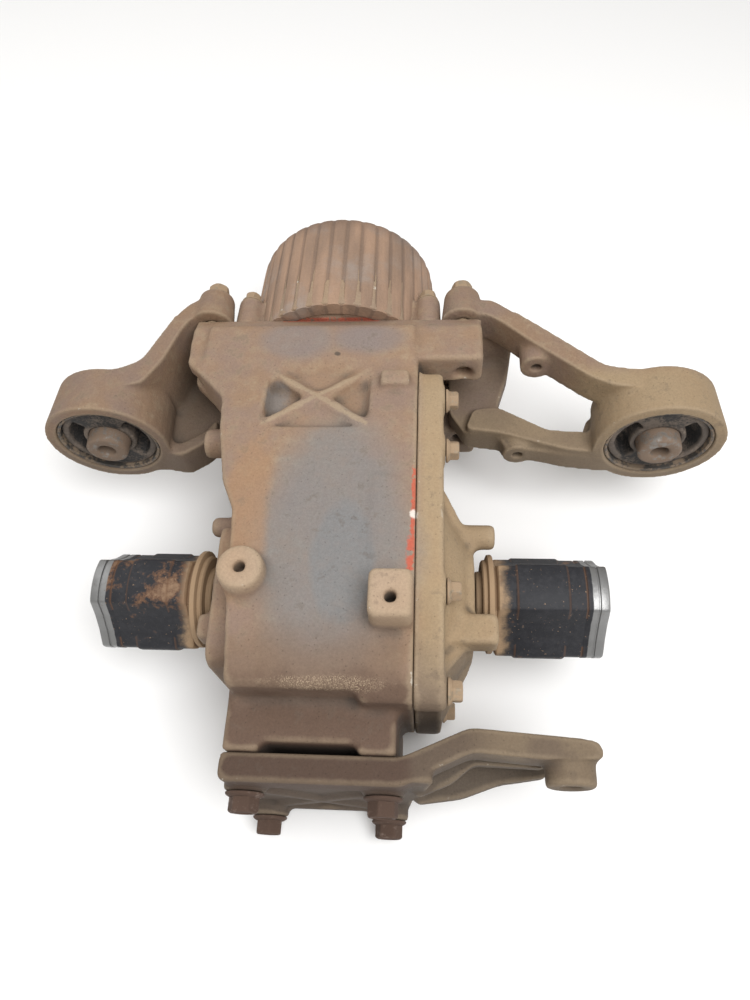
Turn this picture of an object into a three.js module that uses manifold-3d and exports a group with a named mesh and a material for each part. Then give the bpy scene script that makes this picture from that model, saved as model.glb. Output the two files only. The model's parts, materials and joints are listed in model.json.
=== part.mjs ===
// Rear differential gear assembly of a four-wheel-drive car: carrier with bolted side cover,
// finned coupling case, two rubber-bushed support arms, rear bracket, ring gear and pinion,
// differential gears and the two inner joint housings of the drive shafts.
//
// Axle frame while modelling, in millimetres: X along the axle to the right, Y forward along the
// pinion and the propeller shaft, Z up, origin where the axle and pinion axes cross. The finished
// group is moved so that its origin is the middle of its underside.

import * as THREE from 'three';
import { mergeVertices } from 'three/addons/utils/BufferGeometryUtils.js';
import Module from 'manifold-3d';

const wasm = await Module();
wasm.setup();

// ---------------------------------------------------------------- driving dimensions

const GAP = 0.3;                 // between pieces that touch
const UNDERSIDE = -95;           // lowest face of the carrier
const DECK = 85;                 // top face of the carrier
const JOINT_X = 70;              // carrier to side cover joint
const COVER_FLANGE = 19.5;       // thickness of the side cover's flange
const NOSE_Y = 225;              // front face of the carrier, where case and arms bolt on
const PAD_Y = -121;              // rear faces of the carrier, where the bracket bolts on

const RING_TEETH = 37;
const PINION_TEETH = 12;
const RING_RADIUS = 70;          // outer pitch radius
const SIDE_TEETH = 16;
const SPIDER_TEETH = 10;
const SIDE_RADIUS = 20;          // outer pitch radius of the side gears

const BUSH_RADIUS = 51;          // outside of the eye that holds a bush
const BUSH_LENGTH = 42;
const BUSH_Z = 23.5;
const LEFT_BUSH_X = -189;
const RIGHT_BUSH_X = 261;
const BUSH_Y = 127;              // rear face of both eyes

const CASE_RADIUS = 84;          // coupling case over its ribs
const CASE_END_Y = 338;
const CASE_BOLT_RADIUS = 92;
const CASE_BOLT_PLACES = [33, 147, 213, 327].map((degrees) => {
  const turn = THREE.MathUtils.degToRad(degrees);
  return [CASE_BOLT_RADIUS * Math.cos(turn), CASE_BOLT_RADIUS * Math.sin(turn)];
});
const CASE_BOLT_SEAT_Y = 256;
const CASE_BOLT_HOLE_RADIUS = 4.7;
const ARM_BOLT_HOLE_RADIUS = 6.8;
const SCREW_HOLE_RADIUS = 4;

const LEFT_JOINT_END = -168;
const RIGHT_JOINT_END = 206;
const JOINT_LOBE_ANGLES = [90, 210, 330];
const JOINT_LOBE_RADIUS = 39.5;
const JOINT_LOBE_HALF_ANGLE = 26;
const JOINT_HOLLOW_RADIUS = 31;  // least radius between the lobes
const STUB_RADIUS = 11;
const JOURNAL_RADIUS = 15;

const ARM_BOLT_LEFT_X = -106;
const ARM_BOLT_RIGHT_X = 106;
const ARM_BOLT_Z = [57, -38];
const BRACKET_BOLT_X = [-40, 51];
const BRACKET_BOLT_Z = [18, -76];
const COVER_BOLTS = [[137, 70], [92, 70], [-19, 72], [-84, 68], [70, -72], [-66, -64]];

const CAST = { color: 0xa88c6c, roughness: 0.85, metalness: 0.25 };
const CAST_DARK = { color: 0x6a5446, roughness: 0.85, metalness: 0.25 };
const STEEL = { color: 0xb8b8ba, roughness: 0.35, metalness: 0.9 };
const DARK_STEEL = { color: 0x54504c, roughness: 0.5, metalness: 0.7 };
const PAINT = { color: 0x1c222b, roughness: 0.55, metalness: 0.3 };
const RUBBER = { color: 0x26262a, roughness: 0.9, metalness: 0.0 };
const BOLT = { color: 0xa8854e, roughness: 0.6, metalness: 0.6 };
const PLASTIC = { color: 0x202022, roughness: 0.6, metalness: 0.0 };

// ---------------------------------------------------------------- solids and booleans

function solid(geometry) {
  const bare = geometry.index ? geometry : geometry.clone();
  bare.deleteAttribute('normal');
  bare.deleteAttribute('uv');
  const merged = mergeVertices(bare, 1e-4);
  return new wasm.Manifold(new wasm.Mesh({
    numProp: 3,
    vertProperties: new Float32Array(merged.attributes.position.array),
    triVerts: new Uint32Array(merged.index.array),
  }));
}

function join(...pieces) {
  return pieces.flat().reduce((all, piece) => all.add(piece));
}

function cut(body, ...tools) {
  return tools.flat().reduce((rest, tool) => rest.subtract(tool), body);
}

function box(x0, x1, y0, y1, z0, z1) {
  const geometry = new THREE.BoxGeometry(x1 - x0, y1 - y0, z1 - z0);
  geometry.translate((x0 + x1) / 2, (y0 + y1) / 2, (z0 + z1) / 2);
  return solid(geometry);
}

// Turns a shape made along +Z so that it lies along the named axis.
function along(geometry, axis) {
  if (axis === 'x') {
    geometry.rotateY(Math.PI / 2);
  }
  if (axis === 'y') {
    geometry.rotateX(-Math.PI / 2);
  }
  return geometry;
}

// Cylinder or cone along an axis, from one station to another, through the point (x, y, z).
function rod(axis, radius, from, to, x = 0, y = 0, z = 0, segments = 24, endRadius = radius) {
  const geometry = new THREE.CylinderGeometry(endRadius, radius, to - from, segments);
  geometry.rotateX(Math.PI / 2);
  geometry.translate(0, 0, (from + to) / 2);
  along(geometry, axis);
  geometry.translate(x, y, z);
  return solid(geometry);
}

function tube(axis, outer, inner, from, to, x = 0, y = 0, z = 0, segments = 24) {
  return cut(
    rod(axis, outer, from, to, x, y, z, segments),
    rod(axis, inner, from - 1, to + 1, x, y, z, segments),
  );
}

function hexHead(axis, acrossFlats, from, to, x, y, z) {
  return rod(axis, acrossFlats / Math.sqrt(3), from, to, x, y, z, 6);
}

// Body of revolution: profile of [radius, station] pairs that closes on itself or on the axis.
function turned(axis, profile, segments = 28) {
  const points = profile.map(([radius, station]) => new THREE.Vector2(radius, station));
  const geometry = new THREE.LatheGeometry(points, segments);
  geometry.rotateX(Math.PI / 2);
  return solid(along(geometry, axis));
}

function outline(points) {
  const shape = new THREE.Shape(points.map(([u, v]) => new THREE.Vector2(u, v)));
  if (THREE.ShapeUtils.isClockWise(shape.getPoints())) {
    return new THREE.Shape(shape.getPoints().reverse());
  }
  return shape;
}

// Outline with every corner replaced by an arc of the given radius.
function rounded(points, radius, steps = 2) {
  const result = [];
  points.forEach((point, i) => {
    const before = new THREE.Vector2(...points[(i + points.length - 1) % points.length]);
    const corner = new THREE.Vector2(...point);
    const after = new THREE.Vector2(...points[(i + 1) % points.length]);
    const reachIn = Math.min(radius, corner.distanceTo(before) / 2.2);
    const reachOut = Math.min(radius, corner.distanceTo(after) / 2.2);
    const start = corner.clone().lerp(before, reachIn / corner.distanceTo(before));
    const end = corner.clone().lerp(after, reachOut / corner.distanceTo(after));
    const bend = new THREE.QuadraticBezierCurve(start, corner, end);
    bend.getPoints(steps).forEach((p) => result.push([p.x, p.y]));
  });
  return result;
}

// Flat plate: an outline in XY between two heights.
function plateZ(points, z0, z1) {
  const geometry = new THREE.ExtrudeGeometry(outline(points), { depth: z1 - z0, bevelEnabled: false });
  geometry.translate(0, 0, z0);
  return solid(geometry);
}

// Flat plate: an outline in YZ between two stations along X.
function plateX(points, x0, x1) {
  const geometry = new THREE.ExtrudeGeometry(outline(points), { depth: x1 - x0, bevelEnabled: false });
  geometry.applyMatrix4(new THREE.Matrix4().set(0, 0, 1, x0, 1, 0, 0, 0, 0, 1, 0, 0, 0, 0, 0, 1));
  return solid(geometry);
}

// Flat plate: an outline in XZ between two stations along Y.
function plateY(points, y0, y1) {
  const flipped = points.map(([x, z]) => [x, -z]);
  const geometry = new THREE.ExtrudeGeometry(outline(flipped), { depth: y1 - y0, bevelEnabled: false });
  geometry.rotateX(-Math.PI / 2);
  geometry.translate(0, y0, 0);
  return solid(geometry);
}

const differential = new THREE.Group();

function addPiece(name, body, look) {
  const mesh = body.getMesh();
  const geometry = new THREE.BufferGeometry();
  geometry.setAttribute('position', new THREE.BufferAttribute(new Float32Array(mesh.vertProperties), 3));
  geometry.setIndex(new THREE.BufferAttribute(new Uint32Array(mesh.triVerts), 1));
  geometry.computeVertexNormals();
  const piece = new THREE.Mesh(geometry, new THREE.MeshStandardMaterial({ ...look }));
  piece.name = name;
  differential.add(piece);
}

// ---------------------------------------------------------------- bevel gears

// Half thickness of an involute tooth at height h over the pitch cone, on the back cone.
function toothHalfThickness(height, pitchRadius, halfAtPitch) {
  const pressure = THREE.MathUtils.degToRad(20);
  const baseRadius = pitchRadius * Math.cos(pressure);
  const radius = Math.max(pitchRadius + height, baseRadius);
  const here = Math.acos(Math.min(1, baseRadius / radius));
  const involute = (a) => Math.tan(a) - a;
  return (pitchRadius + height) * (halfAtPitch / pitchRadius + involute(pressure) - involute(here));
}

// Straight bevel gear about +Z with its cone apex at the origin. A tooth, or a gap, is centred on
// +X. The blank behind the teeth is given as a closed [radius, z] profile.
function bevelGear({
  teeth, mateTeeth, radius, face, addendum, dedendum, play, blank, blankSides, gapFirst, flat,
}) {
  const coneAngle = Math.atan2(teeth, mateTeeth);
  const coneLength = radius / Math.sin(coneAngle);
  const backRadius = coneLength * Math.tan(coneAngle);
  const halfAtPitch = (Math.PI * radius) / (2 * teeth) - play;
  const heights = flat ? [-dedendum - 1.2, addendum] : [-dedendum - 1.2, 0, addendum];
  const inner = (coneLength - face) / coneLength;
  const toothSolid = (turn) => {
    const ring = (scale) => {
      const point = (height, side) => {
        const half = toothHalfThickness(Math.max(height, -dedendum), backRadius, halfAtPitch);
        const r = (coneLength * Math.sin(coneAngle) + height * Math.cos(coneAngle)) * scale;
        const z = (coneLength * Math.cos(coneAngle) - height * Math.sin(coneAngle)) * scale;
        const s = side * half * scale;
        return new THREE.Vector3(
          r * Math.cos(turn) - s * Math.sin(turn),
          r * Math.sin(turn) + s * Math.cos(turn),
          z,
        );
      };
      const right = heights.map((height) => point(height, -1));
      const left = heights.map((height) => point(height, 1)).reverse();
      return [...right, ...left];
    };
    const outer = ring(1);
    const near = ring(inner);
    const count = outer.length;
    const indices = [];
    for (let i = 0; i < count; i += 1) {
      const next = (i + 1) % count;
      indices.push(i, next, count + i, next, count + next, count + i);
    }
    for (let i = 0; i < count / 2 - 1; i += 1) {
      const a = i;
      const b = i + 1;
      const c = count - 2 - i;
      const d = count - 1 - i;
      indices.push(a, c, b, a, d, c);
      indices.push(count + a, count + b, count + c, count + a, count + c, count + d);
    }
    const geometry = new THREE.BufferGeometry().setFromPoints([...outer, ...near]);
    geometry.setIndex(indices);
    const tooth = solid(geometry);
    if (tooth.volume() > 0) {
      return tooth;
    }
    geometry.setIndex(indices.map((_, i) => indices[i - (i % 3) + [0, 2, 1][i % 3]]));
    return solid(geometry);
  };
  const pitch = (2 * Math.PI) / teeth;
  const offset = gapFirst ? pitch / 2 : 0;
  const list = Array.from({ length: teeth }, (_, i) => toothSolid(offset + i * pitch));
  return join(turned('z', blank, blankSides), list);
}

// Radius and station of a point on a cone gear at a share of its length and a height over it.
function conePoint(teeth, mateTeeth, radius, share, height) {
  const angle = Math.atan2(teeth, mateTeeth);
  const length = radius / Math.sin(angle);
  return [
    (length * Math.sin(angle) + height * Math.cos(angle)) * share,
    (length * Math.cos(angle) - height * Math.sin(angle)) * share,
  ];
}

const TOOTH_MODULE = (2 * RING_RADIUS) / RING_TEETH;
const PINION_RADIUS = (RING_RADIUS * PINION_TEETH) / RING_TEETH;
const RING_DEPTHS = { addendum: 0.45 * TOOTH_MODULE, dedendum: 1.15 * TOOTH_MODULE };
const PINION_DEPTHS = { addendum: 0.85 * TOOTH_MODULE, dedendum: 0.75 * TOOTH_MODULE };
const FACE_WIDTH = 22;
const PLAY = 0.3;

function ringGear() {
  const length = Math.hypot(RING_RADIUS, PINION_RADIUS);
  const inner = (length - FACE_WIDTH) / length;
  const root = -RING_DEPTHS.dedendum;
  const [outR, outZ] = conePoint(RING_TEETH, PINION_TEETH, RING_RADIUS, 1, root);
  const [inR, inZ] = conePoint(RING_TEETH, PINION_TEETH, RING_RADIUS, inner, root);
  const backZ = 40;
  const blank = [[inR, inZ], [outR, outZ], [outR, backZ], [46.5, backZ], [46.5, inZ + 2], [inR, inZ]];
  const gear = bevelGear({
    teeth: RING_TEETH, mateTeeth: PINION_TEETH, radius: RING_RADIUS, face: FACE_WIDTH,
    ...RING_DEPTHS, play: PLAY, blank, blankSides: RING_TEETH, gapFirst: true, flat: true,
  });
  // The gear's +X gap is turned to +Y, and its axis from +Z to +X.
  return gear.rotate([0, 90, 0]).rotate([90, 0, 0]);
}

function drivePinion() {
  const length = Math.hypot(RING_RADIUS, PINION_RADIUS);
  const inner = (length - FACE_WIDTH - 1) / length;
  const root = -PINION_DEPTHS.dedendum;
  const [outR, outZ] = conePoint(PINION_TEETH, RING_TEETH, PINION_RADIUS, 1, root);
  const [inR, inZ] = conePoint(PINION_TEETH, RING_TEETH, PINION_RADIUS, inner, root);
  const blank = [
    [0, inZ], [inR, inZ], [outR, outZ], [22, outZ], [22, 81], [16, 81], [16, 150],
    [14, 150], [14, 212], [10, 212], [10, 308], [0, 308],
  ];
  const gear = bevelGear({
    teeth: PINION_TEETH, mateTeeth: RING_TEETH, radius: PINION_RADIUS, face: FACE_WIDTH,
    ...PINION_DEPTHS, play: PLAY, blank, blankSides: 18, gapFirst: false,
  });
  return gear.rotate([-90, 0, 0]);
}

const SMALL_MODULE = (2 * SIDE_RADIUS) / SIDE_TEETH;
const SPIDER_RADIUS = (SIDE_RADIUS * SPIDER_TEETH) / SIDE_TEETH;
const SMALL_FACE = 8;
const CROSS_SHAFT_RADIUS = 6.5;

function sideGear(side) {
  const length = Math.hypot(SIDE_RADIUS, SPIDER_RADIUS);
  const inner = (length - SMALL_FACE) / length;
  const depths = { addendum: 0.55 * SMALL_MODULE, dedendum: 1.05 * SMALL_MODULE };
  const [outR, outZ] = conePoint(SIDE_TEETH, SPIDER_TEETH, SIDE_RADIUS, 1, -depths.dedendum);
  const [inR, inZ] = conePoint(SIDE_TEETH, SPIDER_TEETH, SIDE_RADIUS, inner, -depths.dedendum);
  const bore = (STUB_RADIUS + GAP) / Math.cos(Math.PI / SIDE_TEETH);
  const blank = [
    [bore, inZ + 1.2], [inR, inZ], [outR, outZ], [outR, 23], [16, 23], [16, 29], [bore, 29],
    [bore, inZ + 1.2],
  ];
  const gear = bevelGear({
    teeth: SIDE_TEETH, mateTeeth: SPIDER_TEETH, radius: SIDE_RADIUS, face: SMALL_FACE,
    ...depths, play: 0.25, blank, blankSides: SIDE_TEETH, gapFirst: true, flat: true,
  });
  return gear.rotate([0, 90 * side, 0]);
}

function spiderGear(side) {
  const length = Math.hypot(SIDE_RADIUS, SPIDER_RADIUS);
  const inner = (length - SMALL_FACE) / length;
  const depths = { addendum: 0.8 * SMALL_MODULE, dedendum: 0.8 * SMALL_MODULE };
  const [outR, outZ] = conePoint(SPIDER_TEETH, SIDE_TEETH, SPIDER_RADIUS, 1, -depths.dedendum);
  const [inR, inZ] = conePoint(SPIDER_TEETH, SIDE_TEETH, SPIDER_RADIUS, inner, -depths.dedendum);
  const bore = (CROSS_SHAFT_RADIUS + GAP) / Math.cos(Math.PI / SPIDER_TEETH);
  const blank = [[bore, inZ], [inR, inZ], [outR, outZ], [outR, 27], [bore, 27], [bore, inZ]];
  const gear = bevelGear({
    teeth: SPIDER_TEETH, mateTeeth: SIDE_TEETH, radius: SPIDER_RADIUS, face: SMALL_FACE,
    ...depths, play: 0.25, blank, blankSides: SPIDER_TEETH, gapFirst: false,
  });
  return side > 0 ? gear : gear.rotate([180, 0, 0]);
}

// ---------------------------------------------------------------- carrier

const DECK_OUTLINE = [
  [-47, -88], [-52, -40], [-58, 36], [-68, 58], [-76, 100], [-80, 134], [-98, 154], [-114, 170],
  [-117, NOSE_Y], [121, NOSE_Y], [121, 173], [JOINT_X, 173], [JOINT_X, -94], [36, -94], [36, -88],
];
const SIDE_OUTLINE = [
  [-94, 30], [-94, 76], [-84, DECK], [112, DECK], [165, 78], [208, 74], [NOSE_Y, 64], [NOSE_Y, -76],
  [150, -80], [80, -90], [45, UNDERSIDE], [-42, UNDERSIDE], [-76, -72], [-90, -30],
];

function ribPanelPockets() {
  const left = -45;
  const right = 33;
  const near = 105;
  const far = 162;
  const x = (left + right) / 2;
  const y = (near + far) / 2;
  const rib = 5;
  const wedge = (points, z) => plateZ(points, z, DECK + 5);
  return [
    wedge([[left, near + rib], [left, far - rib], [x - 2 * rib, y]], DECK - 15),
    wedge([[right, near + rib], [right, far - rib], [x + 2 * rib, y]], DECK - 12),
    wedge([[left + rib, near], [right - rib, near], [x, y - rib]], DECK - 5),
    wedge([[left + rib, far], [right - rib, far], [x, y + rib]], DECK - 11),
  ];
}

function carrier() {
  const ears = [
    box(JOINT_X + 2, 130, 160, 240, -110, -62),
    box(JOINT_X + 2, 130, 160, 240, -23, 46),
    box(-130, -92, 140, 240, -110, -62),
    box(-130, -93, 140, 240, -21, 38),
  ];
  let body = plateZ(DECK_OUTLINE, UNDERSIDE, DECK).intersect(plateX(SIDE_OUTLINE, -130, 130));
  body = cut(body, ears);
  const legs = BRACKET_BOLT_X.map((x, i) => box(x - 10 - 5 * i, x + 13 - 4 * i, PAD_Y, -80, -92, 57));
  body = join(
    body,
    box(-49, 60, -115.5, -80, -90, 57),
    legs,
    // bearing tower and lugs on the left side
    rod('x', 38.5, -78, -50, 0, 0, 0, 28),
    plateX(rounded([[-66, -70], [-66, 56], [36, 62], [36, -70]], 12), -71, -45),
    rod('x', 8, -86, -60, 0, 47, 30, 14),
    box(-85.5, -60, -42, -24, 14, 36),
    rod('x', 12, -99, -60, 0, 117, 40, 14),
    // round boss, square pad and small pad on the deck
    rod('z', 17.5, 60, 103, -42, -16, 0, 24, 15.5),
    plateZ(rounded([[42, -51], [JOINT_X - GAP, -51], [JOINT_X - GAP, -19], [42, -19]], 3), 60, 112),
    box(42, 64, 139, 153, 70, 90),
    // soft bar across the front of the deck
    plateX([[162, 60], [164, 76], [169, 81], [203, 81], [208, 77], [215, 60]], -100, JOINT_X - 2),
    // low step of the deck beside the cover joint
    plateZ(rounded([[40, -2], [63, -2], [63, 58], [40, 64]], 6), 80, DECK + 2),
  );
  const cavity = [
    rod('x', 78, -45, JOINT_X + 10, 0, 0, 0, 28),
    rod('x', 33.3, -64, -40, 0, 0, 0, 24),
    rod('x', 26.3, -90, -60, 0, 0, 0, 24),
    rod('y', 34.3, 60, 104, 0, 0, 0, 24),
    rod('y', 29, 60, 150, 0, 0, 0, 24),
    rod('y', 34.3, 146, 170, 0, 0, 0, 24),
    rod('y', 50, 168, NOSE_Y + 5, 0, 0, 0, 20),
  ];
  const holes = [
    rod('z', SCREW_HOLE_RADIUS, 88, 120, -42, -16, 0, 12),
    rod('z', SCREW_HOLE_RADIUS, 92, 120, 56, -38, 0, 12),
    ...[ARM_BOLT_LEFT_X, ARM_BOLT_RIGHT_X].flatMap((x) => (
      ARM_BOLT_Z.map((z) => rod('y', ARM_BOLT_HOLE_RADIUS, 160, NOSE_Y + 5, x, 0, z, 10)))),
    ...BRACKET_BOLT_X.flatMap((x) => (
      BRACKET_BOLT_Z.map((z) => rod('y', 6.8, PAD_Y - 5, -97, x, 0, z, 10)))),
    ...CASE_BOLT_PLACES.map(([x, z]) => (
      rod('y', CASE_BOLT_HOLE_RADIUS, NOSE_Y - 22, NOSE_Y + 5, x, 0, z, 8))),
    ...COVER_BOLTS.map(([y, z]) => rod('x', 4.7, JOINT_X - 20, JOINT_X + 5, 0, y, z, 8)),
    rod('x', 9.5, -90, -56, 0, 78, -22, 12),
    rod('z', 8.5, UNDERSIDE - 5, -70, 0, 0, 0, 12),
  ];
  return cut(body, cavity, holes, ribPanelPockets());
}

// ---------------------------------------------------------------- side cover

const COVER_OUTLINE = [
  [-88, 40], [-88, 54], [-97, 60], [-95, 78], [-84, DECK - 2], [120, DECK - 2], [163, 76], [166, 50],
  [150, 20], [96, -30], [84, -80], [40, -92], [-40, -92], [-78, -70], [-92, -30],
];

function sideCover() {
  const outer = JOINT_X + COVER_FLANGE;
  const flange = plateX(rounded(COVER_OUTLINE, 12), JOINT_X + GAP, outer);
  const cone = rod('x', 76, outer - 2, 105, 0, 0, 0, 32, 50);
  const boss = rod('x', 45, 100, 112, 0, 0, 0, 32);
  const ribs = [40, 143, 196, 252, 290].map((angle) => {
    const rib = box(outer - 2, 110, 30, 84, -3.5, 3.5);
    return rib.intersect(plateZ([[outer - 3, 20], [outer - 3, 84], [92, 84], [111, 48], [111, 20]], -5, 5))
      .rotate([angle, 0, 0]);
  });
  let cover = join(
    flange, cone, boss, ribs,
    box(92, 127, -47, -25, 29, 51),
    rod('x', 9.5, 92, 128, 0, 41, 30, 14),
    COVER_BOLTS.map(([y, z]) => rod('x', 11, JOINT_X + GAP, outer + 1.5, 0, y, z, 12)),
  );
  cover = cut(
    cover,
    rod('x', 74, JOINT_X - 5, 84, 0, 0, 0, 32, 60),
    rod('x', 33.3, 60, 96, 0, 0, 0, 24),
    rod('x', 26.3, 80, 130, 0, 0, 0, 24),
    COVER_BOLTS.map(([y, z]) => rod('x', 4.7, JOINT_X - 5, 110, 0, y, z, 8)),
    COVER_BOLTS.map(([y, z]) => rod('x', 10, outer + 1.5, 120, 0, y, z, 8)),
  );
  return cover;
}

// ---------------------------------------------------------------- coupling case

// Body of revolution about Y whose outside is cut into broad ribs by narrow grooves.
function ribbedShell(profile, ribs, groove) {
  const points = profile.map(([radius, station]) => new THREE.Vector2(radius, station));
  const geometry = new THREE.LatheGeometry(points, 4 * ribs);
  const position = geometry.attributes.position;
  const pitch = (2 * Math.PI) / ribs;
  const corners = [[-0.38, 0], [0.38, 0], [0.43, groove], [0.57, groove]];
  for (let i = 0; i < position.count; i += 1) {
    const radius = Math.hypot(position.getX(i), position.getZ(i));
    const quarter = Math.round((Math.atan2(position.getX(i), position.getZ(i)) * 4) / pitch) + 4 * ribs;
    const [share, depth] = corners[quarter % 4];
    const angle = (Math.floor(quarter / 4) + share) * pitch;
    const moved = radius < 1e-3 ? 0 : radius - (radius > 70 ? depth : 0);
    position.setX(i, moved * Math.sin(angle));
    position.setZ(i, moved * Math.cos(angle));
  }
  return solid(geometry);
}

function couplingCase() {
  const shell = ribbedShell([
    [0, CASE_END_Y], [66, CASE_END_Y], [81, 326], [CASE_RADIUS, NOSE_Y + GAP], [0, NOSE_Y + GAP],
  ].reverse(), 20, 2.4);
  const lugs = CASE_BOLT_PLACES.map(([x, z]) => join(
    rod('y', 11.5, NOSE_Y + GAP, CASE_BOLT_SEAT_Y, x, 0, z, 14, 10.5),
    rod('y', 12, NOSE_Y + GAP, CASE_BOLT_SEAT_Y - 6, x * 0.9, 0, z * 0.9, 12, 6),
  ));
  const holes = CASE_BOLT_PLACES.map(([x, z]) => (
    rod('y', CASE_BOLT_HOLE_RADIUS, NOSE_Y - 25, CASE_BOLT_SEAT_Y + 4, x, 0, z, 8)));
  return cut(
    join(
      shell,
      rod('y', 84, NOSE_Y + GAP, 231, 0, 0, 0, 32, 80),
      rod('y', 32, CASE_END_Y - 4, 350, 0, 0, 0, 28),
      box(-14, 14, 236, 262, -92, -70),
      box(-17, 17, 266, 288, UNDERSIDE, -70),
      lugs,
    ),
    rod('y', 72, 232, 330, 0, 0, 0, 24),
    rod('y', 50, 220, 240, 0, 0, 0, 20),
    rod('y', 22.3, 320, 360, 0, 0, 0, 24),
    rod('z', 7.3, -100, -60, 0, 249, 0, 16),
    box(-11, 7, 220, 227, 66, 78),
    holes,
  );
}

// ---------------------------------------------------------------- support arms

// Eye, bolt bosses and bores that both arms share.
function armEye(x) {
  return rod('y', BUSH_RADIUS, BUSH_Y, BUSH_Y + BUSH_LENGTH, x, 0, BUSH_Z, 40, BUSH_RADIUS - 2.5);
}

function armRoot(x) {
  const back = NOSE_Y + GAP;
  return join(
    rod('y', 18, back, 256, x, 0, ARM_BOLT_Z[0], 20, 15),
    rod('y', 15, back, 246, x, 0, ARM_BOLT_Z[1], 16),
    box(x - 13, x + 13, back, 242, ARM_BOLT_Z[1], ARM_BOLT_Z[0]),
  );
}

function armHoles(x, bushX) {
  return [
    rod('y', BUSH_RADIUS - 9, BUSH_Y - 5, BUSH_Y + BUSH_LENGTH + 5, bushX, 0, BUSH_Z, 36),
    ...ARM_BOLT_Z.map((z) => rod('y', 6.8, 200, 270, x, 0, z, 10)),
  ];
}

function leftArm() {
  const rail = plateZ(rounded([
    [-92, 226], [-94, 240], [-122, 246], [-134, 232], [-146, 204], [-156, 180], [-172, 172], [-190, 168],
    [-190, 150], [-152, 156], [-138, 180], [-128, 212], [-121, 226],
  ], 6), -8, 69);
  const web = plateZ(rounded([
    [-94, 232], [-130, 236], [-160, 180], [-190, 166], [-190, 128], [-150, 128], [-130, 124],
    [-112, 136], [-103, 148], [-94, 158],
  ], 6), -14, 4);
  const lowRim = plateZ(rounded([
    [-190, 128], [-150, 128], [-130, 124], [-112, 136], [-103, 150], [-104, 162], [-113, 148],
    [-132, 136], [-150, 140], [-190, 140],
  ], 4), -20, 12);
  const x = ARM_BOLT_LEFT_X;
  return cut(join(armEye(LEFT_BUSH_X), armRoot(x), rail, web, lowRim), armHoles(x, LEFT_BUSH_X));
}

function rightArm() {
  const rail = plateZ(rounded([
    [92, 226], [95, 241], [130, 243], [168, 212], [215, 172], [240, 168], [262, 168], [262, 150],
    [222, 152], [204, 160], [160, 196], [136, 218], [124, 226],
  ], 6), 40, 69);
  const rootWall = plateZ(rounded([[93, 226], [93, 242], [140, 242], [152, 226]], 4), -18, 60);
  const web = plateZ(rounded([
    [96, 232], [150, 236], [148, 214], [137, 178], [156, 163], [177, 150], [206, 148], [212, 166],
    [262, 166], [262, 128], [222, 126], [190, 129], [165, 134], [142, 136], [138, 146], [109, 150],
    [96, 172],
  ], 4), -12, 6);
  const nearRim = plateZ(rounded([
    [109, 150], [138, 146], [190, 130], [224, 126], [236, 128], [236, 144], [206, 147], [177, 149],
    [156, 161], [137, 172], [116, 170],
  ], 5), -15, 14);
  const x = ARM_BOLT_RIGHT_X;
  const arm = join(
    armEye(RIGHT_BUSH_X), armRoot(x), rail, rootWall, web, nearRim,
    rod('y', 13, 184, 212, 165, 0, 50, 16),
    rod('y', 12.5, 134, 158, 153, 0, -3, 16),
  );
  return cut(
    arm, armHoles(x, RIGHT_BUSH_X),
    rod('y', 4.2, 170, 260, 165, 0, 50, 10),
    rod('y', 4.2, 120, 180, 153, 0, -3, 10),
  );
}

// Rubber ring with two kidney voids through it, so that its blocks carry the load.
function bushRubber(x) {
  const outer = BUSH_RADIUS - 12 - GAP;
  const ring = tube('y', outer, 17 + GAP, BUSH_Y + 5, BUSH_Y + BUSH_LENGTH - 5, x, 0, BUSH_Z, 28);
  const voids = [-1, 1].map((side) => {
    const slot = [];
    const steps = 5;
    const reach = THREE.MathUtils.degToRad(48);
    for (let i = 0; i <= steps; i += 1) {
      const angle = -reach + (2 * reach * i) / steps;
      slot.push([33 * Math.cos(angle), 33 * Math.sin(angle)]);
    }
    for (let i = steps; i >= 0; i -= 1) {
      const angle = -reach + (2 * reach * i) / steps;
      slot.push([22 * Math.cos(angle), 22 * Math.sin(angle)]);
    }
    return plateY(slot.map(([u, v]) => [x + side * u, BUSH_Z + v]), BUSH_Y - 5, BUSH_Y + BUSH_LENGTH + 5);
  });
  return cut(ring, voids);
}

// ---------------------------------------------------------------- rear bracket

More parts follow.
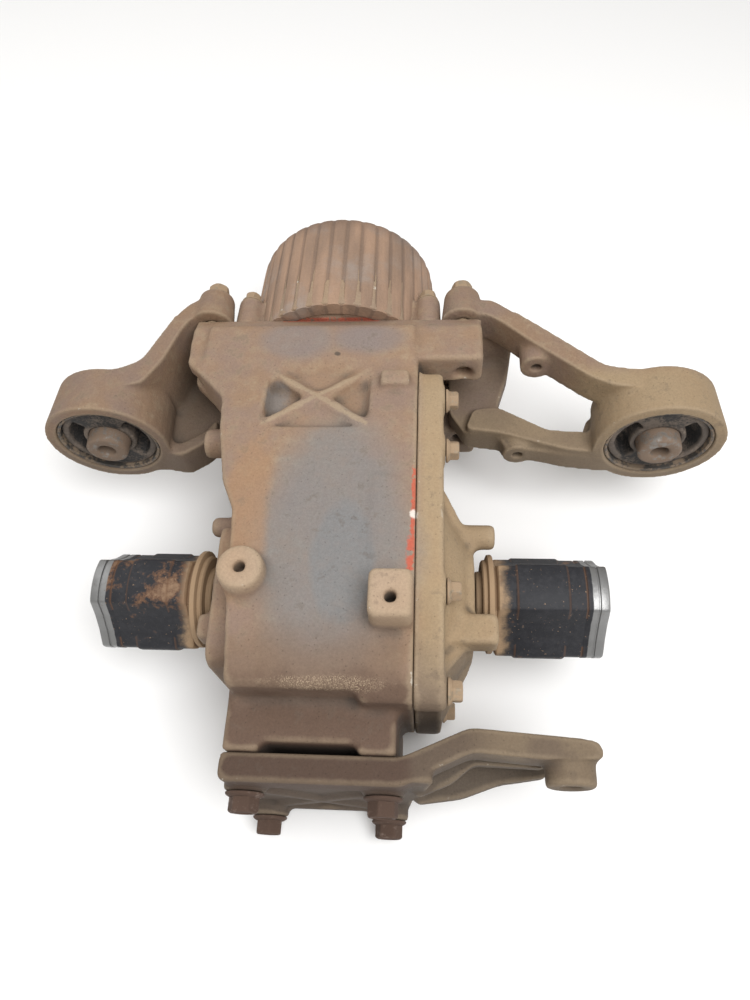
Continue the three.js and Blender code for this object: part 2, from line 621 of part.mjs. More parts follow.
function rearBracket() {
  const near = -140;
  const far = PAD_Y - GAP;
  const main = plateY(rounded([
    [-52, 52], [-52, -60], [-52, -92], [-20, -92], [0, -62], [12, -62], [32, -92], [66, -92],
    [70, -40], [74, -30], [84, 52],
  ], 8), near + 4, far);
  const rim = plateZ(rounded([
    [-52, far], [63, far], [106, -102], [186, -108], [188, -119], [150, -120], [107, -117],
    [78, -131], [64, near + 1], [-52, near + 1],
  ], 5), 24, 52);
  const spine = plateZ(rounded([
    [63, far], [106, -102], [170, -106], [170, -113], [108, -110], [74, -126],
  ], 4), -28, 50);
  const foot = plateZ(rounded([
    [63, far], [106, -102], [164, -106], [164, -119], [130, -125], [104, -135], [72, near],
  ], 4), -34, -22);
  const ridge = plateZ(rounded([
    [63, far], [106, -102], [160, -106], [158, -119], [110, -118], [96, -130], [72, near],
  ], 4), 2, 12);
  const boss = rod('y', 16, -134, -106, 169, 0, 34, 20);
  const pads = BRACKET_BOLT_X.flatMap((x) => BRACKET_BOLT_Z.map((z, i) => (
    rod('y', 14.5, near - 1 - 5 * i, far, x, 0, z, 16))));
  const braces = [
    plateY([[-44, 14], [-36, 20], [55, -72], [48, -80]], near, far),
    plateY([[55, 14], [47, 20], [-44, -72], [-37, -80]], near, far),
    plateY([[-44, -70], [-44, -82], [54, -82], [54, -70]], near, far),
  ];
  const holes = BRACKET_BOLT_X.flatMap((x) => BRACKET_BOLT_Z.map((z) => (
    rod('y', 6.8, near - 10, far + 5, x, 0, z, 10))));
  return cut(
    join(main, rim, spine, foot, ridge, boss, pads, braces),
    rod('y', 6.5, -150, -90, 169, 0, 34, 16),
    holes,
  );
}

// ---------------------------------------------------------------- fasteners and seals

function flangeBolt(axis, sign, seat, x, y, z, shank, length, head) {
  const span = (a, b) => (sign > 0 ? [seat + a, seat + b] : [seat - b, seat - a]);
  return join(
    rod(axis, head * 0.72, ...span(GAP, 2.5), x, y, z, 12),
    hexHead(axis, head, ...span(1, head * 0.55 + 3), x, y, z),
    rod(axis, shank, ...span(-length, 2), x, y, z, 6),
  );
}

function sealRing(axis, outer, inner, from, to) {
  return tube(axis, outer - GAP, inner + GAP, from, to);
}

function addHousing() {
  addPiece('carrier_housing', carrier(), CAST);
  addPiece('side_cover', sideCover(), CAST);
  addPiece('coupling_case', couplingCase(), CAST);
  addPiece('left_support_arm', leftArm(), CAST);
  addPiece('right_support_arm', rightArm(), CAST);
  addPiece('rear_bracket', rearBracket(), CAST_DARK);
  [['left', LEFT_BUSH_X], ['right', RIGHT_BUSH_X]].forEach(([side, x]) => {
    const end = BUSH_Y + BUSH_LENGTH;
    addPiece(`${side}_bush_outer_sleeve`, tube('y', BUSH_RADIUS - 9 - GAP, BUSH_RADIUS - 12,
      BUSH_Y + 1.5, end - 1.5, x, 0, BUSH_Z, 36), DARK_STEEL);
    addPiece(`${side}_bush_rubber`, bushRubber(x), RUBBER);
    addPiece(`${side}_bush_inner_sleeve`, tube('y', 17, 7, BUSH_Y - 7, end + 5, x, 0, BUSH_Z, 24), STEEL);
  });
  const coverFace = JOINT_X + COVER_FLANGE + 1.5;
  COVER_BOLTS.forEach(([y, z], i) => {
    addPiece(`cover_bolt_${i + 1}`, flangeBolt('x', 1, coverFace, 0, y, z, 4, 34, 12.5), BOLT);
  });
  BRACKET_BOLT_X.forEach((x, i) => BRACKET_BOLT_Z.forEach((z, k) => {
    const seat = -141 - 5 * k;
    addPiece(`bracket_bolt_${2 * i + k + 1}`,
      flangeBolt('y', -1, seat, x, 0, z, 6, 40 + 5 * k, 18), DARK_STEEL);
  }));
  [['left', ARM_BOLT_LEFT_X], ['right', ARM_BOLT_RIGHT_X]].forEach(([side, x]) => {
    addPiece(`${side}_arm_upper_bolt`, flangeBolt('y', 1, 256, x, 0, ARM_BOLT_Z[0], 6, 82, 16), BOLT);
    addPiece(`${side}_arm_lower_bolt`, flangeBolt('y', 1, 246, x, 0, ARM_BOLT_Z[1], 6, 62, 16), BOLT);
  });
  CASE_BOLT_PLACES.forEach(([x, z], i) => {
    addPiece(`case_bolt_${i + 1}`, flangeBolt('y', 1, CASE_BOLT_SEAT_Y, x, 0, z, 4, 50, 12.5), BOLT);
  });
  addPiece('left_output_seal', sealRing('x', 26.3, JOURNAL_RADIUS + 0.2, -77, -67), RUBBER);
  addPiece('right_output_seal', sealRing('x', 26.3, JOURNAL_RADIUS + 0.2, 101, 111), RUBBER);
  addPiece('input_seal', sealRing('y', 22.3, 14.2, 341, 349), RUBBER);
  addPiece('filler_plug', join(
    rod('x', 9, -74, -58, 0, 78, -22, 12), rod('x', 12, -79, -76, 0, 78, -22, 6),
    rod('x', 9, -77, -73, 0, 78, -22, 12),
  ), DARK_STEEL);
  addPiece('drain_plug', join(
    rod('z', 8, UNDERSIDE + 1.5, -79, 0, 0, 0, 16), rod('z', 6.5, UNDERSIDE + 1, UNDERSIDE + 3, 0, 0, 0, 6),
  ), DARK_STEEL);
  addPiece('rear_pinion_bearing_cup', tube('y', 34, 28.6, 85, 102), STEEL);
  addPiece('front_pinion_bearing_cup', tube('y', 34, 28.6, 151, 167), STEEL);
  addPiece('left_case_bearing_cup', tube('x', 33, 27.2, -62, -47), STEEL);
  addPiece('right_case_bearing_cup', tube('x', 33, 27.2, 58, 73), STEEL);
  addPiece('magnet_coil', tube('y', 71, 58, 232.5, 243, 0, 0, 0, 28), DARK_STEEL);
  addPiece('coil_socket', join(
    rod('z', 7, -90, -73, 0, 249, 0, 16), box(-9, 9, 240, 258, -94.5, -92.4),
    rod('z', 7, -94, -90, 0, 249, 0, 16),
  ), PLASTIC);
}

// ---------------------------------------------------------------- rotating groups

function addPinion() {
  addPiece('drive_pinion', drivePinion(), STEEL);
  addPiece('rear_pinion_bearing_cone', tube('y', 28.2, 16 + GAP, 84, 102), STEEL);
  addPiece('front_pinion_bearing_cone', tube('y', 28.2, 14 + GAP, 151, 168), STEEL);
  const plates = [[10 + GAP, 252], [30, 252], [30, 256]];
  for (let i = 0; i < 2; i += 1) {
    const y = 256 + i * 26;
    plates.push([54, y], [54, y + 20], [46, y + 20], [46, y + 26]);
  }
  plates.push([30, 308], [30, 310], [10 + GAP, 310], [10 + GAP, 252]);
  addPiece('clutch_pack', turned('y', plates, 20), DARK_STEEL);
}

function addInput() {
  addPiece('coupling_drum', turned('y', [
    [57, 246], [64, 246], [66, 250], [66, 322], [60, 327], [20, 327], [14, 332], [14, 352],
    [11, 352], [11, 366], [0, 366], [0, 318], [52, 318], [57, 313], [57, 246],
  ], 22), DARK_STEEL);
  const studs = [0, 90, 180, 270].map((angle) => {
    const turn = THREE.MathUtils.degToRad(angle + 45);
    return rod('y', 4.5, 340, 380, 31 * Math.cos(turn), 0, 31 * Math.sin(turn), 8);
  });
  addPiece('companion_flange', cut(turned('y', [
    [11 + GAP, 352.6], [19, 352.6], [24, 355], [40, 355], [40, 363], [20, 363], [20, 368],
    [15, 368], [15, 361], [11 + GAP, 361], [11 + GAP, 352.6],
  ], 18), studs), DARK_STEEL);
  addPiece('flange_nut', cut(
    hexHead('y', 24, 361.4, 366, 0, 0, 0), rod('y', 11 + GAP, 350, 370, 0, 0, 0, 24),
  ), BOLT);
}

function addDifferentialCase() {
  const profile = [
    [STUB_RADIUS + 0.6, -64], [17.5, -64], [17.5, -46], [24, -44], [36, -31], [40, -20],
    [43, 24], [43, 40.4], [74, 40.4], [74, 46], [28, 52], [17.5, 57], [17.5, 75],
    [STUB_RADIUS + 0.6, 75], [STUB_RADIUS + 0.6, -64],
  ];
  const shell = turned('x', profile, 22);
  const window = box(-22, 16, -60, 60, -17, 17);
  const core = turned('x', [
    [0, -29.4], [24.5, -29.4], [30, -12], [30, 12], [24.5, 29.4], [0, 29.4],
  ], 20);
  addPiece('differential_case', cut(
    shell, core, window, rod('z', CROSS_SHAFT_RADIUS + GAP, -60, 60, 0, 0, 0, 20),
  ), DARK_STEEL);
  addPiece('ring_gear', ringGear(), STEEL);
  addPiece('cross_shaft', rod('z', CROSS_SHAFT_RADIUS, -38, 38, 0, 0, 0, 20), STEEL);
  addPiece('left_case_bearing_cone', tube('x', 26.8, 17.5 + GAP, -63, -47), STEEL);
  addPiece('right_case_bearing_cone', tube('x', 26.8, 17.5 + GAP, 58, 74), STEEL);
}

// Outline in YZ of three round lobes on one circle, with a shallow hollow between each pair.
function lobedOutline(radius, hollow) {
  const points = [];
  JOINT_LOBE_ANGLES.forEach((angle) => {
    const centre = THREE.MathUtils.degToRad(angle);
    const half = THREE.MathUtils.degToRad(JOINT_LOBE_HALF_ANGLE);
    const arcSteps = 4;
    for (let i = 0; i <= arcSteps; i += 1) {
      const turn = centre - half + (2 * half * i) / arcSteps;
      points.push([radius * Math.cos(turn), radius * Math.sin(turn)]);
    }
    const middle = centre + Math.PI / 3;
    const spread = THREE.MathUtils.degToRad(14);
    [-spread, spread].forEach((away) => {
      points.push([hollow * Math.cos(middle + away), hollow * Math.sin(middle + away)]);
    });
  });
  return points;
}

// Drive shaft joint housing, drawn for the right side between its neck and its open end.
function jointHousing(neck, end, innerEnd) {
  const lobes = plateX(lobedOutline(JOINT_LOBE_RADIUS, JOINT_HOLLOW_RADIUS), neck + 14, end);
  const body = join(
    lobes,
    rod('x', 33, neck + 4, neck + 16, 0, 0, 0, 24),
    rod('x', 37, neck + 8, neck + 12.5, 0, 0, 0, 28),
    rod('x', 24, neck, neck + 6, 0, 0, 0, 20),
    rod('x', JOURNAL_RADIUS, neck - 14, neck + 4, 0, 0, 0, 20),
    rod('x', STUB_RADIUS, innerEnd, neck, 0, 0, 0, 16),
  );
  const tracks = JOINT_LOBE_ANGLES.map((angle) => {
    const turn = THREE.MathUtils.degToRad(angle);
    return rod('x', 12.5, neck + 26, end + 5, 0, 16.5 * Math.cos(turn), 16.5 * Math.sin(turn), 12);
  });
  return cut(body, tracks, rod('x', 17, neck + 26, end + 5, 0, 0, 0, 20));
}

function addOutputs() {
  addPiece('left_side_gear', sideGear(-1), STEEL);
  addPiece('right_side_gear', sideGear(1), STEEL);
  const rightNeck = 114;
  const leftNeck = -82;
  addPiece('right_joint_housing', jointHousing(rightNeck, RIGHT_JOINT_END, 14), PAINT);
  const left = jointHousing(-leftNeck, -LEFT_JOINT_END, 14).mirror([1, 0, 0]);
  addPiece('left_joint_housing', left, PAINT);
  addPiece('upper_spider_gear', spiderGear(1), STEEL);
  addPiece('lower_spider_gear', spiderGear(-1), STEEL);
}

addHousing();
addPinion();
addInput();
addDifferentialCase();
addOutputs();

const bounds = new THREE.Box3().setFromObject(differential);
const middle = bounds.getCenter(new THREE.Vector3());
differential.position.set(-middle.x, -middle.y, -bounds.min.z);

export default differential;
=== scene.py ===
"""Looks of a weathered differential gear assembly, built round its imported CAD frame."""

import json
import math

import bmesh
import bpy
import numpy as np
import openvdb as vdb
from mathutils import Matrix, Vector


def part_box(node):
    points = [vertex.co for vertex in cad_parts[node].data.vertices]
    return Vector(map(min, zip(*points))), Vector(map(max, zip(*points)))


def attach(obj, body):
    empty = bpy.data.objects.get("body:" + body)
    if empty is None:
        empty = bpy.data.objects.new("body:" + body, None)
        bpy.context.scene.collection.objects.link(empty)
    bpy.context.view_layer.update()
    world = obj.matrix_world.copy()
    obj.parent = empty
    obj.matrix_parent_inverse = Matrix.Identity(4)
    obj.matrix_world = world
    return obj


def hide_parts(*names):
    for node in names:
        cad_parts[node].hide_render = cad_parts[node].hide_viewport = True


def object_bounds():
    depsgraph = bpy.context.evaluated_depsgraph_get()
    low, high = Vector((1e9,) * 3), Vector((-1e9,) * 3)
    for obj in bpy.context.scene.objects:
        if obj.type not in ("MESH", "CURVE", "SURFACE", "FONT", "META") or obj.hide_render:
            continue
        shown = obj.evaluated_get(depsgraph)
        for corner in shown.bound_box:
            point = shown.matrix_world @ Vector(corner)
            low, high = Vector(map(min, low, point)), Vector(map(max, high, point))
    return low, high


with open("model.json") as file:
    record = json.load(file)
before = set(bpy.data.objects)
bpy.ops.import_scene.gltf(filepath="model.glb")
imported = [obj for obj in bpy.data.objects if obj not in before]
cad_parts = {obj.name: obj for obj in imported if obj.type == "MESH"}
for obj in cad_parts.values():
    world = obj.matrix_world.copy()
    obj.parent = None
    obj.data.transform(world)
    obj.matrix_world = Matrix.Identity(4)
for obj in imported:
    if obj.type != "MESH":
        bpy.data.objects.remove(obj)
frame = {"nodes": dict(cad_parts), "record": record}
CAD_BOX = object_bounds()
MM = 0.001  # shapes below are worked out in millimetres


# ---------------- places read from the frame


def box_mm(node):
    low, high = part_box(node)
    return np.array(low) / MM, np.array(high) / MM


def middle_mm(node):
    low, high = box_mm(node)
    return (low + high) / 2


AXLE = middle_mm("cross_shaft")  # where the axle and pinion axes meet


# ---------------- meshes


def mesh_from(name, points, faces):
    """A mesh from points in millimetres and faces that all have the same number of corners."""
    points = np.asarray(points, np.float32) * MM
    faces = np.asarray(faces, np.int32)
    corners = faces.shape[1]
    mesh = bpy.data.meshes.new(name)
    mesh.vertices.add(len(points))
    mesh.vertices.foreach_set("co", points.ravel())
    mesh.loops.add(faces.size)
    mesh.loops.foreach_set("vertex_index", faces.ravel())
    mesh.polygons.add(len(faces))
    mesh.polygons.foreach_set("loop_start", np.arange(0, faces.size, corners, dtype=np.int32))
    mesh.polygons.foreach_set("use_smooth", np.ones(len(faces), bool))
    mesh.update(calc_edges=True)
    mesh.validate()
    return mesh


def places_of(mesh):
    """The mesh's points in millimetres."""
    points = np.empty(len(mesh.vertices) * 3, np.float32)
    mesh.vertices.foreach_get("co", points)
    return points.reshape(-1, 3) / MM


def add_value(mesh, name, values):
    layer = mesh.attributes.new(name, "FLOAT", "POINT")
    layer.data.foreach_set("value", np.asarray(values, np.float32))


def add_object(name, data):
    thing = bpy.data.objects.new(name, data)
    bpy.context.scene.collection.objects.link(thing)
    return thing


def place(name, mesh, body, material, slot, stands_for=()):
    piece = add_object(name, mesh)
    mesh.materials.append(material)
    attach(piece, body)
    if stands_for:
        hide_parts(*stands_for)
    return piece


def node_polygons(node):
    """Points in millimetres and triangles of a CAD node."""
    mesh = frame["nodes"][node].data
    points = np.empty(len(mesh.vertices) * 3, np.float32)
    mesh.vertices.foreach_get("co", points)
    mesh.calc_loop_triangles()
    triangles = np.empty(len(mesh.loop_triangles) * 3, np.int32)
    mesh.loop_triangles.foreach_get("vertices", triangles)
    return points.reshape(-1, 3) / np.float32(MM), triangles.reshape(-1, 3).astype(np.uint32)


# ---------------- solid fields


def level_set(points, faces, voxel, outside, inside):
    """Signed distance in voxels' reach round a closed surface; outside and inside are band widths."""
    kind = "quads" if faces.shape[1] == 4 else "triangles"
    return vdb.FloatGrid.createLevelSetFromPolygons(
        np.ascontiguousarray(points, np.float32),
        **{kind: np.ascontiguousarray(faces, np.uint32)},
        transform=vdb.createLinearTransform(voxel),
        exBandWidth=float(outside),
        inBandWidth=float(inside),
    )


def dense(grid, low, shape):
    """Distances of a level set as an array whose first cell is at index low."""
    array = np.empty(shape, np.float32)
    grid.copyToArray(array, ijk=tuple(int(i) for i in low))
    return array


def blurred(field, reach, passes=2):
    """The field averaged over a cube that reaches so many cells each way, again and again."""
    for axis in range(3):
        for _ in range(passes):
            pad = [(reach + 1, reach) if a == axis else (0, 0) for a in range(3)]
            total = np.cumsum(np.pad(field, pad, mode="edge"), axis=axis, dtype=np.float32)
            count = field.shape[axis]
            upper = np.take(total, range(2 * reach + 1, 2 * reach + 1 + count), axis=axis)
            lower = np.take(total, range(0, count), axis=axis)
            field = (upper - lower) / np.float32(2 * reach + 1)
    return field


def sampled(field, low, voxel, points):
    """The field at points, between its cells."""
    at = np.asarray(points, np.float32) / voxel - np.asarray(low, np.float32)
    at = np.clip(at, 0, np.array(field.shape) - 1.001)
    cell = at.astype(np.int32)
    share = at - cell
    value = np.zeros(len(at), np.float32)
    for dx in (0, 1):
        for dy in (0, 1):
            for dz in (0, 1):
                weight = (
                    (share[:, 0] if dx else 1 - share[:, 0])
                    * (share[:, 1] if dy else 1 - share[:, 1])
                    * (share[:, 2] if dz else 1 - share[:, 2])
                )
                value += weight * field[cell[:, 0] + dx, cell[:, 1] + dy, cell[:, 2] + dz]
    return value


class Crowding:
    """How much of the space near a point is filled by the whole object: low on corners, high in hollows."""

    VOXEL = 3.0
    REACH = 3

    def __init__(self):
        low = np.array(CAD_BOX[0]) / MM / self.VOXEL
        high = np.array(CAD_BOX[1]) / MM / self.VOXEL
        self.low = np.floor(low).astype(int) - 8
        shape = np.ceil(high).astype(int) + 8 - self.low
        filled = np.zeros(shape, np.float32)
        for node in frame["nodes"]:
            grid = level_set(*node_polygons(node), self.VOXEL, 2, 2)
            distance = dense(grid, self.low, shape)
            filled = np.maximum(filled, np.clip(0.5 - distance / self.VOXEL, 0, 1))
        self.near = blurred(filled, self.REACH)

    def at(self, points):
        return sampled(self.near, self.low, self.VOXEL, points)


crowding = Crowding()


def cylinder_field(grid_places, axis, centre, radius, low, high):
    """Distance to a cylinder along an axis, where x, y and z hold the places of the cells."""
    a, b = [i for i in range(3) if i != axis]
    across = np.hypot(grid_places[a] - centre[a], grid_places[b] - centre[b]) - radius
    along = np.maximum(low - grid_places[axis], grid_places[axis] - high)
    return np.maximum(across, along)


def softened_field(nodes, voxel, rounding, fillet):
    """Distances to the nodes' joined shape, first with its corners rounded and filled, then as drawn."""
    parts = [node_polygons(node) for node in nodes]
    starts = np.cumsum([0] + [len(points) for points, _ in parts])
    points = np.concatenate([points for points, _ in parts])
    faces = np.concatenate([triangles + start for (_, triangles), start in zip(parts, starts)])
    swell = 0.0
    if len(nodes) > 1:
        swell = 0.6  # closes the gap between pieces that are bolted together
        grid = level_set(points, faces, voxel, 4, 3)
        points, faces = grid.convertToQuads(swell)
    boxes = [box_mm(node) for node in nodes]
    low = np.min([b[0] for b in boxes], axis=0)
    high = np.max([b[1] for b in boxes], axis=0)
    start = np.floor(low / voxel).astype(int) - 4
    shape = np.ceil(high / voxel).astype(int) + 4 - start
    grid = level_set(points, faces, voxel, 3, (rounding + swell) / voxel + 3)
    crisp = dense(grid, start, shape) + np.float32(swell)
    points, quads = grid.convertToQuads(-rounding - swell)
    grid = level_set(points, quads, voxel, (rounding + fillet) / voxel + 3, 3)
    points, quads = grid.convertToQuads(rounding + fillet)
    grid = level_set(points, quads, voxel, 3, fillet / voxel + 3)
    return dense(grid, start, shape) + np.float32(fillet), crisp, start


def mesh_of_field(name, distance, start, voxel):
    """The surface of a field, with its edge and crowd values."""
    grid = vdb.FloatGrid(3 * voxel)
    grid.transform = vdb.createLinearTransform(voxel)
    band = np.clip(distance, -3 * voxel, 3 * voxel).astype(np.float32)
    grid.copyFromArray(band, ijk=tuple(int(i) for i in start))
    points, quads = grid.convertToQuads(0.0)
    filled = np.clip(0.5 - distance / voxel, 0, 1).astype(np.float32)
    edge = sampled(blurred(filled, max(1, round(3.0 / voxel))), start, voxel, points)
    mesh = mesh_from(name, points, quads[:, ::-1])
    add_value(mesh, "edge", edge)
    add_value(mesh, "crowd", crowding.at(points))
    return mesh


def cell_places(start, shape, voxel):
    cells = [(np.arange(shape[a]) + start[a]) * voxel for a in range(3)]
    return np.meshgrid(*cells, indexing="ij", sparse=True)


def drilled(distance, start, voxel, holes):
    """Takes round holes out of a field: each is (axis, centre from the axle, radius, low, high)."""
    places = cell_places(start, distance.shape, voxel)
    for axis, centre, radius, low, high in holes:
        centre = AXLE + np.array(centre)
        hole = cylinder_field(places, axis, centre, radius, AXLE[axis] + low, AXLE[axis] + high)
        distance = np.maximum(distance, -hole)
    return distance


def with_machined_faces(distance, crisp, start, voxel, low=-1000.0, high=1000.0):
    """Keeps a casting as drawn where it is machined: below and above two stations along Y."""
    y = cell_places(start, distance.shape, voxel)[1] - AXLE[1]
    machined = np.minimum(distance, crisp)
    return np.where((y < low) | (y > high), machined, distance)


def hollowed(distance, start, voxel, corners, floor, top, draft=0.45, ease=2.5):
    """Takes a pocket with sloping walls out of a field; its corners run anticlockwise."""
    x, y, z = cell_places(start, distance.shape, voxel)
    x, y, z = x - AXLE[0], y - AXLE[1], z - AXLE[2]
    wall = np.full(distance.shape, -1000.0, np.float32)
    for (x0, y0), (x1, y1) in zip(corners, corners[1:] + corners[:1]):
        length = math.hypot(x1 - x0, y1 - y0)
        outside = ((y1 - y0) * (x - x0) - (x1 - x0) * (y - y0)) / length
        wall = np.maximum(wall, (outside + draft * (top - z)) / math.hypot(1, draft))
    pocket = -np.maximum(wall, floor - z)
    share = np.clip(0.5 + 0.5 * (distance - pocket) / ease, 0, 1)
    return pocket + (distance - pocket) * share + ease * share * (1 - share)


def coarse(voxel):
    """The cell size as given."""
    return voxel


def cast_mesh(name, node, voxel, rounding, fillet, holes=(), trim=None, machined=None):
    """A CAD node's shape as a casting has it: corners rounded and inner corners filled."""
    voxel = coarse(voxel)
    distance, crisp, start = softened_field([node], voxel, rounding, fillet)
    if machined is not None:
        distance = with_machined_faces(distance, crisp, start, voxel, *machined)
    if trim is not None:
        distance = np.maximum(distance, trim(*cell_places(start, distance.shape, voxel)))
    return mesh_of_field(name, drilled(distance, start, voxel, holes), start, voxel)


def relax(piece, steps):
    """Evens out the small steps of a mesh that came from cells."""
    smooth = piece.modifiers.new("relax", "SMOOTH")
    smooth.factor = 0.5
    smooth.iterations = steps


def polar_mesh(name, axis, centre, rows, closed=False, sharp=35):
    """A body round an axis. Each row is (station along the axis, radii at even angles or one radius)."""
    count = max(np.size(radius) for _, radius in rows)
    count = max(count, 64)
    turn = np.arange(count) * 2 * math.pi / count
    points = []
    for station, radius in rows:
        ring = np.zeros((count, 3))
        ring[:, axis] = station
        ring[:, (axis + 1) % 3] = np.cos(turn) * radius
        ring[:, (axis + 2) % 3] = np.sin(turn) * radius
        points.append(ring)
    points = np.concatenate(points) + np.asarray(centre)
    step = np.arange(count)
    following = (step + 1) % count
    faces = []
    last = len(rows) if closed else len(rows) - 1
    for row in range(last):
        here = row * count
        there = ((row + 1) % len(rows)) * count
        faces.append(np.stack([here + step, here + following, there + following, there + step], 1))
    mesh = mesh_from(name, points, np.concatenate(faces))
    bm = bmesh.new()
    bm.from_mesh(mesh)
    bmesh.ops.remove_doubles(bm, verts=bm.verts, dist=1e-6)
    bmesh.ops.dissolve_degenerate(bm, edges=bm.edges, dist=1e-6)
    bmesh.ops.recalc_face_normals(bm, faces=bm.faces)
    bm.to_mesh(mesh)
    bm.free()
    mesh.set_sharp_from_angle(angle=math.radians(sharp))
    points = places_of(mesh)
    add_value(mesh, "edge", np.full(len(points), 0.5))
    add_value(mesh, "crowd", crowding.at(points))
    return mesh


# ---------------- material building


class Look:
    """A node material, with short names for the nodes that it is made of."""

    def __init__(self, name):
        self.material = bpy.data.materials.new(name)
        self.material.use_nodes = True
        self.tree = self.material.node_tree
        self.shader = self.tree.nodes["Principled BSDF"]
        coordinates = self.tree.nodes.new("ShaderNodeTexCoord")
        self.place = coordinates.outputs["Object"]
        split = self.tree.nodes.new("ShaderNodeSeparateXYZ")
        self.link(self.place, split.inputs[0])
        self.x, self.y, self.z = split.outputs

    def link(self, source, socket):
        self.tree.links.new(source, socket)

    def feed(self, socket, value):
        if isinstance(value, bpy.types.NodeSocket):
            self.link(value, socket)
        elif value is not None:
            socket.default_value = value

    def math(self, operation, a, b=None, c=None, clamp=False):
        node = self.tree.nodes.new("ShaderNodeMath")
        node.operation = operation
        node.use_clamp = clamp
        for socket, value in zip(node.inputs, (a, b, c)):
            self.feed(socket, value)
        return node.outputs[0]

    def vector(self, operation, a, b=None):
        node = self.tree.nodes.new("ShaderNodeVectorMath")
        node.operation = operation
        self.feed(node.inputs[0], a)
        self.feed(node.inputs[1], b)
        return node

    def times(self, *values):
        product = values[0]
        for value in values[1:]:
            product = self.math("MULTIPLY", product, value)
        return product

    def larger(self, a, b):
        return self.math("MAXIMUM", a, b)

    def ramp(self, value, low, high):
        """0 below low and 1 above high, with a soft step between; low may be over high."""
        node = self.tree.nodes.new("ShaderNodeMapRange")
        node.interpolation_type = "SMOOTHSTEP"
        self.feed(node.inputs["Value"], value)
        node.inputs["From Min"].default_value = min(low, high)
        node.inputs["From Max"].default_value = max(low, high)
        node.inputs["To Min"].default_value = float(low > high)
        node.inputs["To Max"].default_value = float(low <= high)
        return node.outputs[0]

    def noise(self, scale, detail=4.0, roughness=0.55, stretch=(1, 1, 1), shift=0.0):
        """Noise of about 1/scale metres, from 0 to 1."""
        node = self.tree.nodes.new("ShaderNodeTexNoise")
        node.inputs["Scale"].default_value = scale
        node.inputs["Detail"].default_value = detail
        node.inputs["Roughness"].default_value = roughness
        mapping = self.tree.nodes.new("ShaderNodeMapping")
        mapping.inputs["Location"].default_value = (shift, shift * 0.7, -shift)
        mapping.inputs["Scale"].default_value = stretch
        self.link(self.place, mapping.inputs["Vector"])
        self.link(mapping.outputs[0], node.inputs["Vector"])
        return node.outputs["Fac"]

    def cells(self, scale):
        """Distance to the nearest of points strewn about 1/scale metres apart."""
        node = self.tree.nodes.new("ShaderNodeTexVoronoi")
        node.inputs["Scale"].default_value = scale
        self.link(self.place, node.inputs["Vector"])
        return node.outputs["Distance"]

    def attribute(self, name):
        node = self.tree.nodes.new("ShaderNodeAttribute")
        node.attribute_name = name
        return node.outputs["Fac"]

    def mix(self, share, a, b):
        node = self.tree.nodes.new("ShaderNodeMix")
        node.data_type = "RGBA"
        self.feed(node.inputs[0], share)
        for socket, value in ((node.inputs[6], a), (node.inputs[7], b)):
            if isinstance(value, tuple):
                value = (*value, 1.0)
            self.feed(socket, value)
        return node.outputs[2]

    def over(self, colour, coat, *shares):
        """The colour under a coat that covers the product of the shares."""
        return self.mix(self.times(*shares), colour, coat)

    def shade(self, colour, amount):
        """The colour made darker or lighter by a factor that varies over the surface."""
        node = self.vector("SCALE", colour)
        self.feed(node.inputs["Scale"], amount)
        return node.outputs[0]

    def between(self, value, low, high):
        """A value from 0 to 1 spread over low to high."""
        return self.math("MULTIPLY_ADD", value, high - low, low)

    def blob(self, centre, radii, ragged=None, amount=0.0):
        """1 inside an ellipsoid in millimetres, soft towards its surface; ragged noise moves the rim."""
        shifted = self.vector("SUBTRACT", self.place, [c * MM for c in centre])
        scaled = self.vector("DIVIDE", shifted.outputs[0], [r * MM for r in radii])
        reach = self.vector("LENGTH", scaled.outputs[0]).outputs["Value"]
        if ragged is not None:
            reach = self.math("ADD", reach, self.between(ragged, -amount, amount))
        return self.ramp(reach, 1.0, 0.55)

    def stroke(self, start, end, width, ragged, amount):
        """1 along a brush stroke between two places in millimetres, seen from above."""
        (ax, ay), (bx, by) = [(p[0] * MM, p[1] * MM) for p in (start, end)]
        dx, dy = bx - ax, by - ay
        square = dx * dx + dy * dy
        px = self.math("SUBTRACT", self.x, ax)
        py = self.math("SUBTRACT", self.y, ay)
        along = self.math("ADD", self.times(px, dx / square), self.times(py, dy / square))
        along = self.math("MINIMUM", self.math("MAXIMUM", along, 0.0), 1.0)
        ox = self.math("SUBTRACT", px, self.times(along, dx))
        oy = self.math("SUBTRACT", py, self.times(along, dy))
        off = self.math("SQRT", self.math("ADD", self.times(ox, ox), self.times(oy, oy)))
        off = self.math("ADD", off, self.between(ragged, -amount * MM, amount * MM))
        return self.ramp(off, width * MM, width * MM * 0.45)

    def bump(self, *layers):
        """Each layer is (height from 0 to 1, depth in millimetres)."""
        normal = None
        for height, depth in layers:
            node = self.tree.nodes.new("ShaderNodeBump")
            node.inputs["Strength"].default_value = 1.0
            node.inputs["Distance"].default_value = depth * MM
            self.link(height, node.inputs["Height"])
            if normal is not None:
                self.link(normal, node.inputs["Normal"])
            normal = node.outputs[0]
        self.link(normal, self.shader.inputs["Normal"])

    def surface(self, colour, roughness, metallic=0.0, specular=0.5):
        self.feed(self.shader.inputs["Base Color"], colour)
        self.feed(self.shader.inputs["Roughness"], roughness)
        self.feed(self.shader.inputs["Metallic"], metallic)
        self.shader.inputs["Specular IOR Level"].default_value = specular
        return self.material


